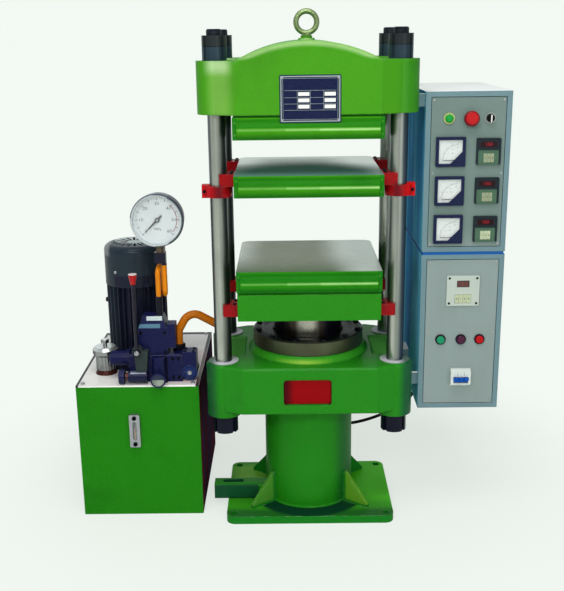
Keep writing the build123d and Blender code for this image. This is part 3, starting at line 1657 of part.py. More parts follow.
# Bezels with the bodies of the lamp, the switches and the push buttons
bore_depth = bezel_proud + button_stem_depth + button_travel
with BuildPart() as control_bezels:
    with BuildSketch(front_plane(panel_front)):
        with Locations(*lamp_places, *button_places):
            Circle(bezel_radius)
    extrude(amount=bezel_proud)
    with BuildSketch(front_plane(panel_front)):
        with Locations(*lamp_places, *button_places):
            Circle(bezel_body_radius)
    extrude(amount=-bezel_body_depth)
    with BuildSketch(front_plane(bezel_face)):
        with Locations(*lamp_places, *button_places):
            Circle(button_radius + fit_gap)
    extrude(amount=-(bore_depth + seat_gap), mode=Mode.SUBTRACT)
control_bezels.part.label = "control_bezels"
export_step(control_bezels.part, "parts/control_bezels.step")


def round_plunger(place, proud, edge):
    """Round plunger in its bezel, with a chamfered front edge."""
    with BuildPart() as plunger:
        with BuildSketch(front_plane(bezel_face - proud)):
            with Locations(place):
                Circle(button_radius)
        extrude(amount=-(proud + button_stem_depth))
        chamfer(plunger.edges().filter_by(GeomType.CIRCLE).sort_by(Axis.Y)[0], length=edge)
    return plunger.part


# Pilot lamp and the three push buttons
for plunger_name, plunger_place, plunger_proud, plunger_edge in (
    ("pilot_lamp", lamp_places[0], lamp_proud, lamp_edge),
    ("raise_button", button_places[0], button_proud, button_edge),
    ("lower_button", button_places[1], button_proud, button_edge),
    ("stop_button", button_places[2], button_proud, button_edge),
):
    plunger = round_plunger(plunger_place, plunger_proud, plunger_edge)
    plunger.label = plunger_name
    export_step(plunger, f"parts/{plunger_name}.step")

# Emergency stop with its mushroom head
estop_back = bezel_face - estop_gap
with BuildPart() as estop_button:
    with BuildSketch(front_plane(estop_back)):
        with Locations(lamp_places[1]):
            Circle(estop_radius)
    extrude(amount=estop_head)
    fillet(estop_button.edges().filter_by(GeomType.CIRCLE).sort_by(Axis.Y)[0], radius=estop_edge)
    with BuildSketch(front_plane(estop_back)):
        with Locations(lamp_places[1]):
            Circle(button_radius)
    extrude(amount=-(estop_gap + button_stem_depth))
estop_button.part.label = "estop_button"
export_step(estop_button.part, "parts/estop_button.step")

# Selector switch with a grip across its disc
with BuildPart() as selector_knob:
    with BuildSketch(front_plane(bezel_face - selector_disc)):
        with Locations(lamp_places[2]):
            Circle(selector_radius)
    extrude(amount=-(selector_disc + button_stem_depth))
    with BuildSketch(front_plane(bezel_face - selector_disc)):
        with Locations(lamp_places[2]):
            Circle(selector_radius)
            Rectangle(selector_grip, 2 * selector_radius, mode=Mode.INTERSECT)
    extrude(amount=selector_proud - selector_disc)
selector_knob.part.label = "selector_knob"
export_step(selector_knob.part, "parts/selector_knob.step")

# Circuit breaker with a stepped front and a slot for its toggle
breaker_face = panel_front - breaker_proud
step_face = breaker_face - breaker_step_proud
toggle_y = step_face + toggle_axis_inset
toggle_z = breaker_place[1] - toggle_drop
slot_depth = toggle_axis_inset + toggle_barrel_radius + seat_gap
with BuildPart() as breaker:
    with BuildSketch(front_plane(panel_front)):
        with Locations(breaker_place):
            Rectangle(breaker_width, breaker_height)
    extrude(amount=breaker_proud)
    with BuildSketch(front_plane(breaker_face)):
        with Locations(breaker_place):
            Rectangle(breaker_width, breaker_step)
    extrude(amount=breaker_step_proud)
    with BuildSketch(front_plane(panel_front)):
        with Locations(breaker_place):
            Rectangle(breaker_width - 2 * breaker_body_inset, breaker_height - 2 * breaker_body_inset)
    extrude(amount=-breaker_body_depth)
    with BuildSketch(front_plane(step_face)):
        with Locations((breaker_place[0], toggle_z)):
            Rectangle(toggle_width + 2 * seat_gap, breaker_slot_height)
    extrude(amount=-slot_depth, mode=Mode.SUBTRACT)
    with BuildSketch(side_plane(breaker_place[0] - toggle_width / 2 - toggle_pin_reach - seat_gap)):
        with Locations((toggle_y, toggle_z)):
            Circle(toggle_pin_radius + fit_gap)
    extrude(amount=toggle_width + 2 * (toggle_pin_reach + seat_gap), mode=Mode.SUBTRACT)
breaker.part.label = "breaker"
export_step(breaker.part, "parts/breaker.step")

# Toggle of the breaker, three levers joined on one barrel, switched on
with BuildPart() as breaker_toggle:
    with BuildSketch(side_plane(-toggle_width / 2)):
        Circle(toggle_barrel_radius)
    extrude(amount=toggle_width)
    with BuildSketch(side_plane(-toggle_width / 2)):
        with Locations((-toggle_reach / 2, 0)):
            Rectangle(toggle_reach, toggle_thickness)
    extrude(amount=toggle_width)
    with BuildSketch(front_plane(-toggle_reach)):
        with GridLocations(toggle_width / toggle_bars, 0, toggle_bars - 1, 1):
            Rectangle(toggle_notch_width, toggle_thickness)
    extrude(amount=-(toggle_reach - toggle_barrel_radius), mode=Mode.SUBTRACT)
    with BuildSketch(side_plane(-toggle_width / 2 - toggle_pin_reach)):
        Circle(toggle_pin_radius)
    extrude(amount=toggle_width + 2 * toggle_pin_reach)
breaker_toggle_part = breaker_toggle.part.moved(
    Location((breaker_place[0], toggle_y, toggle_z), (-toggle_tilt, 0, 0))
)
breaker_toggle_part.label = "breaker_toggle"
export_step(breaker_toggle_part, "parts/breaker_toggle.step")

# Cable from the terminal box of the motor to the gland under the lower control box
cable_start = (
    motor_place[0],
    motor_place[1] + terminal_back - terminal_depth / 2,
    terminal_z - cable_gland_length,
)
cable_end = (*box_gland_place, lower_box_bottom - cable_gland_length)
cable_span = cable_end[0] - cable_start[0]
cable_route = [
    cable_start,
    (*cable_start[:2], cable_start[2] - cable_drop),
    *(
        (
            cable_start[0] + along * cable_span,
            cable_start[1] + back * cable_span,
            cable_start[2] - down * cable_span,
        )
        for along, back, down in cable_shares
    ),
    (*cable_end[:2], cable_end[2] - cable_rise),
    cable_end,
]
cable_runs = [Vector(*far) - Vector(*near) for near, far in zip(cable_route, cable_route[1:])]
cable_radii = [
    cable_fillet_share
    * min(before.length, after.length)
    / math.tan(math.radians(before.get_angle(after)) / 2)
    for before, after in zip(cable_runs, cable_runs[1:])
]
with BuildPart() as cable:
    with BuildLine() as cable_line:
        FilletPolyline(*cable_route, radius=cable_radii)
    with BuildSketch(Plane.XY.offset(cable_start[2])):
        with Locations(cable_start[:2]):
            Circle(cable_radius)
    sweep()
print("cable bend radii", [round(radius) for radius in cable_radii])
cable_length = sum(edge.length for edge in cable_line.edges())
print("cable length", round(cable_length))
print("cable volume", round(cable.part.volume), round(math.pi * cable_radius**2 * cable_length))
cable.part.label = "cable"
export_step(cable.part, "parts/cable.step")
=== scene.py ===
"""Dresses a four-column plate vulcanizing press, its oil unit and its control boxes on their CAD frame."""

import logging
import math
from dataclasses import dataclass
from enum import Enum

import bmesh
import bpy
from mathutils import Matrix, Vector


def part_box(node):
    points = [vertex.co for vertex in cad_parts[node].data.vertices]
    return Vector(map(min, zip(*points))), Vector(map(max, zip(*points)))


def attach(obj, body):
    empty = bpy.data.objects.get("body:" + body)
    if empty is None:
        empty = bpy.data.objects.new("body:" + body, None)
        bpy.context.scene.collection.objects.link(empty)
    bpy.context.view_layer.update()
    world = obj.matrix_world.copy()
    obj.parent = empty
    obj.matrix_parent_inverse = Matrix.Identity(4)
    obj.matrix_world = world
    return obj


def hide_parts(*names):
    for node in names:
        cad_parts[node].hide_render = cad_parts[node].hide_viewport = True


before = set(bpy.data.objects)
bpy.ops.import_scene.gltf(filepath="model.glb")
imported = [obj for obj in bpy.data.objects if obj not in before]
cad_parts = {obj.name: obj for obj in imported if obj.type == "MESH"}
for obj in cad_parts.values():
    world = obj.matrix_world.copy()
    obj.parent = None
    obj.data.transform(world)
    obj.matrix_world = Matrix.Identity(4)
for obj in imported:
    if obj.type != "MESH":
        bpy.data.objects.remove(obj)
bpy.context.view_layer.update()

log = logging.getLogger("press")

Colour = tuple[float, float, float]
Point = tuple[float, float, float]
Span = tuple[float, float]

BLACK = (0.0, 0.0, 0.0, 1.0)
WHITE = (1.0, 1.0, 1.0, 1.0)
BARE_PRIMER = (196, 208, 188)
COLUMN_X, COLUMN_Y = 0.245, 0.133
COLUMNS = [(sx * COLUMN_X, sy * COLUMN_Y) for sx in (-1, 1) for sy in (-1, 1)]


def linear(colour: Colour) -> tuple[float, float, float, float]:
    """Linear colour of a screen colour.

    Args:
        colour: Red, green and blue from 0 to 255.

    Returns:
        Linear red, green and blue, and an alpha of 1.
    """
    parts = [c / 255 for c in colour]
    out = [p / 12.92 if p <= 0.04045 else ((p + 0.055) / 1.055) ** 2.4 for p in parts]
    return (out[0], out[1], out[2], 1.0)


def polar(radius: float, degrees: float) -> Span:
    """Point of a plane at a distance and an angle from its origin."""
    return (radius * math.cos(math.radians(degrees)), radius * math.sin(math.radians(degrees)))


class Signal:
    """A number that changes over a surface; arithmetic on it adds Math nodes."""

    def __init__(self, shader: "Shader", socket: bpy.types.NodeSocket) -> None:
        """Wraps a socket of a shader's tree."""
        self.shader = shader
        self.socket = socket

    def _math(self, operation: str, first: object, second: object = 0.0) -> "Signal":
        """Adds one Math node and returns its value."""
        node = self.shader.node("ShaderNodeMath", {"operation": operation}, {0: first, 1: second})
        return Signal(self.shader, node.outputs[0])

    def __add__(self, other: object) -> "Signal":
        """Sum of two numbers."""
        return self._math("ADD", self, other)

    __radd__ = __add__

    def __sub__(self, other: object) -> "Signal":
        """Difference of two numbers."""
        return self._math("SUBTRACT", self, other)

    def __rsub__(self, other: object) -> "Signal":
        """Difference with the number on the left."""
        return self._math("SUBTRACT", other, self)

    def __mul__(self, other: object) -> "Signal":
        """Product of two numbers."""
        return self._math("MULTIPLY", self, other)

    __rmul__ = __mul__

    def root(self) -> "Signal":
        """Square root."""
        return self._math("SQRT", self)

    def wave(self) -> "Signal":
        """Sine."""
        return self._math("SINE", self)

    def larger(self, other: object) -> "Signal":
        """The larger of two numbers."""
        return self._math("MAXIMUM", self, other)

    def rise(self, low: float, high: float) -> "Signal":
        """Smooth step from 0 at low to 1 at high.

        Args:
            low: The value at which the step starts.
            high: The value at which it is complete.

        Returns:
            The step, between 0 and 1.
        """
        values = {"Value": self, "From Min": low, "From Max": high}
        node = self.shader.node("ShaderNodeMapRange", {"interpolation_type": "SMOOTHSTEP"}, values)
        return Signal(self.shader, node.outputs[0])

    def band(self, span: Span, soft: float) -> "Signal":
        """1 inside a span and 0 outside it, with soft ends."""
        low, high = span
        return self.rise(low - soft, low + soft) * (1 - self.rise(high - soft, high + soft))


class Tree:
    """A node tree under construction."""

    def __init__(self, tree: bpy.types.NodeTree) -> None:
        """Wraps a tree."""
        self.tree = tree

    def node(self, kind: str, settings: dict[str, object], values: dict) -> bpy.types.Node:
        """Adds a node.

        Args:
            kind: The node's type.
            settings: Its properties, set first.
            values: Its inputs by name or number, each a number, a colour, a socket or a Signal.

        Returns:
            The node.
        """
        node = self.tree.nodes.new(kind)
        for key, setting in settings.items():
            setattr(node, key, setting)
        for key, value in values.items():
            self.feed(node.inputs[key], value)
        return node

    def feed(self, socket: bpy.types.NodeSocket, value: object) -> None:
        """Links or sets one input.

        Args:
            socket: The input.
            value: A number, a colour, an object, a socket or a Signal.
        """
        if isinstance(value, Signal):
            value = value.socket
        if isinstance(value, bpy.types.NodeSocket):
            self.tree.links.new(value, socket)
        else:
            socket.default_value = value


class Shader(Tree):
    """The node tree of a material or of the world."""

    def __init__(self, owner: bpy.types.ID) -> None:
        """Empties the owner's tree and reads its coordinates."""
        owner.use_nodes = True
        super().__init__(owner.node_tree)
        self.tree.nodes.clear()
        self.coordinates = self.node("ShaderNodeTexCoord", {}, {})

    def place(self, axis: int) -> Signal:
        """The X, Y or Z of a point of the surface, in metres."""
        return self.part_of(self.coordinates.outputs["Object"], axis)

    def part_of(self, vector: bpy.types.NodeSocket, axis: int) -> Signal:
        """One component of a vector."""
        node = self.node("ShaderNodeSeparateXYZ", {}, {0: vector})
        return Signal(self, node.outputs[axis])

    def facing(self, axis: int, sign: float) -> Signal:
        """1 where the surface faces along an axis, and 0 where it doesn't."""
        normal = self.part_of(self.coordinates.outputs["Normal"], axis)
        return (normal * sign).rise(0.55, 0.8)

    def noise(self, scale: float, detail: float = 2.0, stretch: Point = (1.0, 1.0, 1.0)) -> Signal:
        """Noise between 0 and 1.

        Args:
            scale: Waves to a metre.
            detail: Octaves of finer noise.
            stretch: Factors on the three axes.

        Returns:
            The noise.
        """
        values = {0: self.coordinates.outputs["Object"], "Scale": stretch}
        stretched = self.node("ShaderNodeMapping", {}, values).outputs[0]
        node = self.node("ShaderNodeTexNoise", {}, {"Vector": stretched, "Scale": scale, "Detail": detail})
        return Signal(self, node.outputs[0])

    def rings(self, centre: Point, axis: int, pitch: float) -> Signal:
        """Fine turned rings round an axis through a point."""
        return (self.radius(centre, axis) * (2 * math.pi / pitch)).wave() * 0.5 + 0.5

    def radius(self, centre: Point, axis: int) -> Signal:
        """Distance from an axis through a point."""
        first, second = (self.place(a) - centre[a] for a in range(3) if a != axis)
        return (first * first + second * second).root()

    def mix(self, factor: object, first: object, second: object) -> bpy.types.NodeSocket:
        """Blend of two colours.

        Args:
            factor: How much of the second colour shows.
            first: The first colour.
            second: The second colour.

        Returns:
            The blended colour.
        """
        settings = {"data_type": "RGBA", "clamp_factor": True}
        return self.node("ShaderNodeMix", settings, {0: factor, 6: first, 7: second}).outputs[2]

    def blend(self, factor: object, first: object, second: object) -> bpy.types.NodeSocket:
        """Blend of two numbers."""
        values = {0: factor, 2: first, 3: second}
        return self.node("ShaderNodeMix", {"data_type": "FLOAT"}, values).outputs[0]

    def layered(self, factor: object, first: object, second: object) -> bpy.types.NodeSocket:
        """Blend of two shaders."""
        return self.node("ShaderNodeMixShader", {}, {0: factor, 1: first, 2: second}).outputs[0]

    def seen(self, *kinds: str) -> Signal:
        """1 for rays of the named kinds, and 0 for the others."""
        path = self.node("ShaderNodeLightPath", {}, {})
        rays = [Signal(self, path.outputs[f"Is {kind} Ray"]) for kind in kinds]
        shown = rays[0]
        for ray in rays[1:]:
            shown = shown.larger(ray)
        return shown


class MaterialShader(Shader):
    """The node tree of one material, round its Principled shader."""

    def __init__(self, name: str) -> None:
        """Starts a material with a Principled shader and its output."""
        self.material = bpy.data.materials.new(name)
        super().__init__(self.material)
        self.output = self.node("ShaderNodeOutputMaterial", {}, {})
        self.principled = self.node("ShaderNodeBsdfPrincipled", {}, {})
        self.feed(self.output.inputs["Surface"], self.principled.outputs[0])

    def set(self, name: str, value: object) -> None:
        """Links or sets an input of the Principled shader."""
        self.feed(self.principled.inputs[name], value)

    def soft_edges(self, radius: float) -> bpy.types.NodeSocket:
        """Normals that round the edges over a radius."""
        return self.node("ShaderNodeBevel", {"samples": 4}, {"Radius": radius}).outputs[0]

    def edge_wear(self, radius: float) -> Signal:
        """1 along the edges and 0 on the flats."""
        plain = self.node("ShaderNodeNewGeometry", {}, {}).outputs["Normal"]
        values = {0: self.soft_edges(radius), 1: plain}
        dot = self.node("ShaderNodeVectorMath", {"operation": "DOT_PRODUCT"}, values)
        return 1 - Signal(self, dot.outputs["Value"])

    def bump(self, height: Signal, strength: float, depth: float, edge: float) -> None:
        """Feeds the normal with a bump over softened edges.

        Args:
            height: The relief.
            strength: How much of it shows.
            depth: Its depth, in metres.
            edge: Radius over which the edges are rounded, or 0.
        """
        values: dict[object, object] = {"Strength": strength, "Distance": depth, "Height": height}
        if edge > 0:
            values["Normal"] = self.soft_edges(edge)
        self.set("Normal", self.node("ShaderNodeBump", {}, values).outputs[0])


class Surface(Enum):
    """What a surface has been through."""

    ENAMEL = "brushed and sprayed enamel"
    POWDER = "powder coat on sheet"
    GROUND = "ground steel"
    TURNED = "turned steel"
    CAST = "raw casting"
    PLATED = "plated"
    POLISHED = "ground and polished"
    MOULDED = "moulded plastic"
    RUBBER = "rubber sheath"


@dataclass(frozen=True)
class Paint:
    """Colour and gloss of one region."""

    colour: Colour
    rough: float = 0.4
    metal: float = 0.0


@dataclass(frozen=True)
class Patch:
    """A region of a piece with a paint of its own, bounded by place, by facing or by a radius. Many patches
    are painted light: painted shade, painted highlights and painted reflections.
    """

    paint: Paint
    x: Span | None = None
    y: Span | None = None
    z: Span | None = None
    facing: tuple[int, float] | None = None
    ring: tuple[Point, int, Span] | None = None
    soft: float = 0.0004
    share: float = 1.0
    streak: Colour | None = None

    def mask(self, shader: Shader) -> Signal:
        """1 inside the region.

        Args:
            shader: The shader that the mask is for.

        Returns:
            The mask.
        """
        masks = []
        for axis, span in enumerate((self.x, self.y, self.z)):
            if span is not None:
                masks.append(shader.place(axis).band(span, self.soft))
        if self.facing is not None:
            masks.append(shader.facing(*self.facing))
        if self.ring is not None:
            centre, axis, span = self.ring
            masks.append(shader.radius(centre, axis).band(span, self.soft))
        result = masks[0] * self.share
        for mask in masks[1:]:
            result = result * mask
        return result

    def tone(self, shader: Shader) -> object:
        """Colour of the region, with its streaks where it has them."""
        if self.streak is None:
            return linear(self.paint.colour)
        drawn = shader.noise(9.0, 3.0, (1.0, 1.6, 0.12)).rise(0.4, 0.62)
        return shader.mix(drawn, linear(self.paint.colour), linear(self.streak))


@dataclass(frozen=True)
class Finish:
    """A procedural material: a base paint, how it changes with height, its patches and its texture."""

    name: str
    paint: Paint
    surface: Surface
    patches: tuple[Patch, ...] = ()
    above: Colour | None = None
    heights: Span = (0.0, 1.0)
    edge: float = 0.0
    grain: Point = (1.0, 1.0, 1.0)
    turned: tuple[Point, int] = ((0.0, 0.0, 0.0), 2)
    wear: float = 0.0
    coat: float = 0.0
    alpha: float = 1.0
    gloss: float = 0.08

    def material(self) -> bpy.types.Material:
        """Builds the material once and returns it.

        Returns:
            The material of this finish.
        """
        known = bpy.data.materials.get("finish_" + self.name)
        if known is not None:
            return known
        shader = MaterialShader("finish_" + self.name)
        colour: object = linear(self.paint.colour)
        rough: object = self.paint.rough
        metal: object = self.paint.metal
        if self.above is not None:
            colour = shader.mix(shader.place(2).rise(*self.heights), colour, linear(self.above))
        for patch in self.patches:
            mask = patch.mask(shader)
            colour = shader.mix(mask, colour, patch.tone(shader))
            rough = shader.blend(mask, rough, patch.paint.rough)
            metal = shader.blend(mask, metal, patch.paint.metal)
        colour, rough = self._texture(shader, colour, rough)
        if self.wear > 0:
            chips = shader.edge_wear(0.0022).rise(0.02, 0.2) * shader.noise(70.0, 4.0).rise(0.42, 0.62)
            colour = shader.mix(chips * self.wear, colour, linear(BARE_PRIMER))
        shader.set("Base Color", colour)
        shader.set("Roughness", rough)
        shader.set("Metallic", metal)
        shader.set("Specular IOR Level", self.gloss)
        if self.coat > 0:
            shader.set("Coat Weight", self.coat)
            shader.set("Coat Roughness", 0.12)
        if self.alpha < 1:
            shader.set("Alpha", self.alpha)
        return shader.material

    def _texture(self, shader: MaterialShader, colour: object, rough: object) -> tuple[object, object]:
        """Adds the marks of how the surface was made.

        Args:
            shader: The shader to add to.
            colour: The colour so far.
            rough: The roughness so far.

        Returns:
            The colour and the roughness with the texture in them.
        """
        smudge = shader.noise(7.0, 3.0)
        if self.surface is Surface.ENAMEL:
            fine = shader.noise(420.0, 3.0)
            colour = shader.mix(smudge.rise(0.5, 0.85) * 0.22, colour, BLACK)
            colour = shader.mix(fine.rise(0.58, 0.72) * 0.03, colour, WHITE)
            rough = shader.blend(smudge.rise(0.35, 0.7), rough, min(1.0, self.paint.rough + 0.14))
            shader.bump(shader.noise(240.0, 2.0) + smudge * 2.0, 0.10, 0.0008, self.edge)
        elif self.surface is Surface.POWDER:
            fine = shader.noise(900.0, 2.0)
            streak = shader.noise(9.0, 3.0, self.grain)
            colour = shader.mix(streak.rise(0.45, 0.75) * 0.06, colour, BLACK)
            colour = shader.mix(fine.rise(0.55, 0.75) * 0.06, colour, WHITE)
            shader.bump(fine, 0.1, 0.0004, self.edge)
        elif self.surface is Surface.GROUND:
            streak = shader.noise(60.0, 4.0, self.grain)
            colour = shader.mix(streak.rise(0.4, 0.7) * 0.18, colour, BLACK)
            colour = shader.mix(smudge.rise(0.5, 0.75) * 0.16, colour, BLACK)
            rough = shader.blend(streak.rise(0.35, 0.65), rough, self.paint.rough + 0.16)
            shader.bump(streak, 0.1, 0.0003, self.edge)
        elif self.surface is Surface.TURNED:
            rings = shader.rings(*self.turned, 0.0016)
            colour = shader.mix(smudge.rise(0.4, 0.7) * 0.25, colour, BLACK)
            colour = shader.mix(rings * 0.12, colour, BLACK)
            rough = shader.blend(smudge.rise(0.4, 0.65), rough, self.paint.rough + 0.18)
            shader.bump(rings, 0.12, 0.0003, self.edge)
        elif self.surface is Surface.CAST:
            grit = shader.noise(260.0, 5.0)
            colour = shader.mix(grit.rise(0.5, 0.75) * 0.25, colour, BLACK)
            shader.bump(grit, 0.35, 0.001, self.edge)
        elif self.surface is Surface.PLATED:
            colour = shader.mix(smudge.rise(0.5, 0.8) * 0.12, colour, BLACK)
            rough = shader.blend(shader.noise(35.0, 4.0).rise(0.4, 0.7), rough, self.paint.rough + 0.12)
            shader.bump(shader.noise(160.0, 2.0), 0.04, 0.0003, self.edge)
        elif self.surface is Surface.POLISHED:
            drawn = shader.noise(30.0, 3.0, self.grain)
            colour = shader.mix(drawn.rise(0.4, 0.7) * 0.05, colour, BLACK)
            rough = shader.blend(smudge.rise(0.3, 0.7), rough, self.paint.rough + 0.05)
            shader.bump(drawn, 0.02, 0.0001, self.edge)
        elif self.surface is Surface.MOULDED:
            fine = shader.noise(1300.0, 2.0)
            colour = shader.mix(smudge.rise(0.45, 0.8) * 0.08, colour, BLACK)
            rough = shader.blend(fine.rise(0.4, 0.7), rough, self.paint.rough + 0.1)
            shader.bump(fine, 0.1, 0.0003, self.edge)
        elif self.surface is Surface.RUBBER:
            fine = shader.noise(700.0, 3.0)
            colour = shader.mix(fine.rise(0.5, 0.8) * 0.1, colour, WHITE)
            shader.bump(fine, 0.15, 0.0003, self.edge)
        return colour, rough


class Axis(Enum):
    """Which way a placed piece faces."""

    FRONT = ((1, 0, 0), (0, 0, 1), (0, -1, 0))
    BACK = ((-1, 0, 0), (0, 0, 1), (0, 1, 0))
    TOP = ((1, 0, 0), (0, 1, 0), (0, 0, 1))
    LEFT = ((0, -1, 0), (0, 0, 1), (-1, 0, 0))

    def at(self, origin: Point, turn: float = 0.0) -> Matrix:
        """Matrix that sets a piece down at a point, turned about its own normal.

        Args:
            origin: The point, in metres.
            turn: Turn about the normal, in degrees.

        Returns:
            The matrix from the piece's own axes to the object's.
        """
        across, up, out = (Vector(v) for v in self.value)
        basis = Matrix((across, up, out)).transposed().to_4x4()
        return Matrix.Translation(origin) @ basis @ Matrix.Rotation(math.radians(turn), 4, "Z")


def linked(name: str, data: bpy.types.ID) -> bpy.types.Object:
    """Makes an object of some data in the scene."""
    made = bpy.data.objects.new(name, data)
    bpy.context.scene.collection.objects.link(made)
    return made


def frozen(holder: bpy.types.Object) -> bpy.types.Mesh:
    """Plain mesh of an object with its modifiers or its text, which is then removed."""
    graph = bpy.context.evaluated_depsgraph_get()
    data = bpy.data.meshes.new_from_object(holder.evaluated_get(graph), depsgraph=graph)
    bpy.data.objects.remove(holder)
    return data


def line_through(name: str, points: list[Point] | tuple[Point, ...],
                 kind: str) -> tuple[bpy.types.Curve, bpy.types.Spline]:
    """Starts a curve of one spline through points.

    Args:
        name: The curve's name.
        points: Its points.
        kind: "POLY" for straight runs, "NURBS" for a smooth one.

    Returns:
        The curve and its spline.
    """
    line = bpy.data.curves.new(name, "CURVE")
    line.dimensions = "3D"
    spline = line.splines.new(kind)
    spline.points.add(len(points) - 1)
    for point, place in zip(spline.points, points):
        point.co = (*place, 1.0)
    return line, spline


def finished(name: str, data: bpy.types.Mesh, finish: Finish, body: str) -> bpy.types.Object:
    """Makes an object of a mesh, shades it, paints it and hangs it on a body.

    Args:
        name: The piece's name.
        data: Its mesh, in the object's own frame.
        finish: Its finish.
        body: The CAD body that it rides on.

    Returns:
        The piece.
    """
    data.materials.clear()
    data.materials.append(finish.material())
    data.polygons.foreach_set("use_smooth", [True] * len(data.polygons))
    data.set_sharp_from_angle(angle=math.radians(32))
    made = linked(name, data)
    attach(made, body)
    log.info("%s on %s, %d faces", name, body, len(data.polygons))
    return made


def dress(finish: Finish, *nodes: str) -> None:
    """Gives CAD nodes a finish.

    Args:
        finish: The finish.
        *nodes: The names of the nodes.
    """
    for node in nodes:
        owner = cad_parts[node]
        if not owner.data.materials:
            owner.data.materials.append(finish.material())
        for holder in owner.material_slots:
            holder.material = finish.material()
        log.info("%s dressed in %s", node, finish.name)


def rounded(width: float, height: float, corner: float) -> list[Span]:
    """Outline of a rectangle with rounded corners.

    Args:
        width: Size across.
        height: Size up.
        corner: Radius of the corners.

    Returns:
        The corners, anticlockwise.
    """
    half_w, half_h = width / 2, height / 2
    if corner <= 0:
        return [(-half_w, -half_h), (half_w, -half_h), (half_w, half_h), (-half_w, half_h)]
    outline = []
    for cx, cy, start in ((1, -1, -90), (1, 1, 0), (-1, 1, 90), (-1, -1, 180)):
        for step in range(5):
            px, py = polar(corner, start + 22.5 * step)
            outline.append((cx * (half_w - corner) + px, cy * (half_h - corner) + py))
    return outline


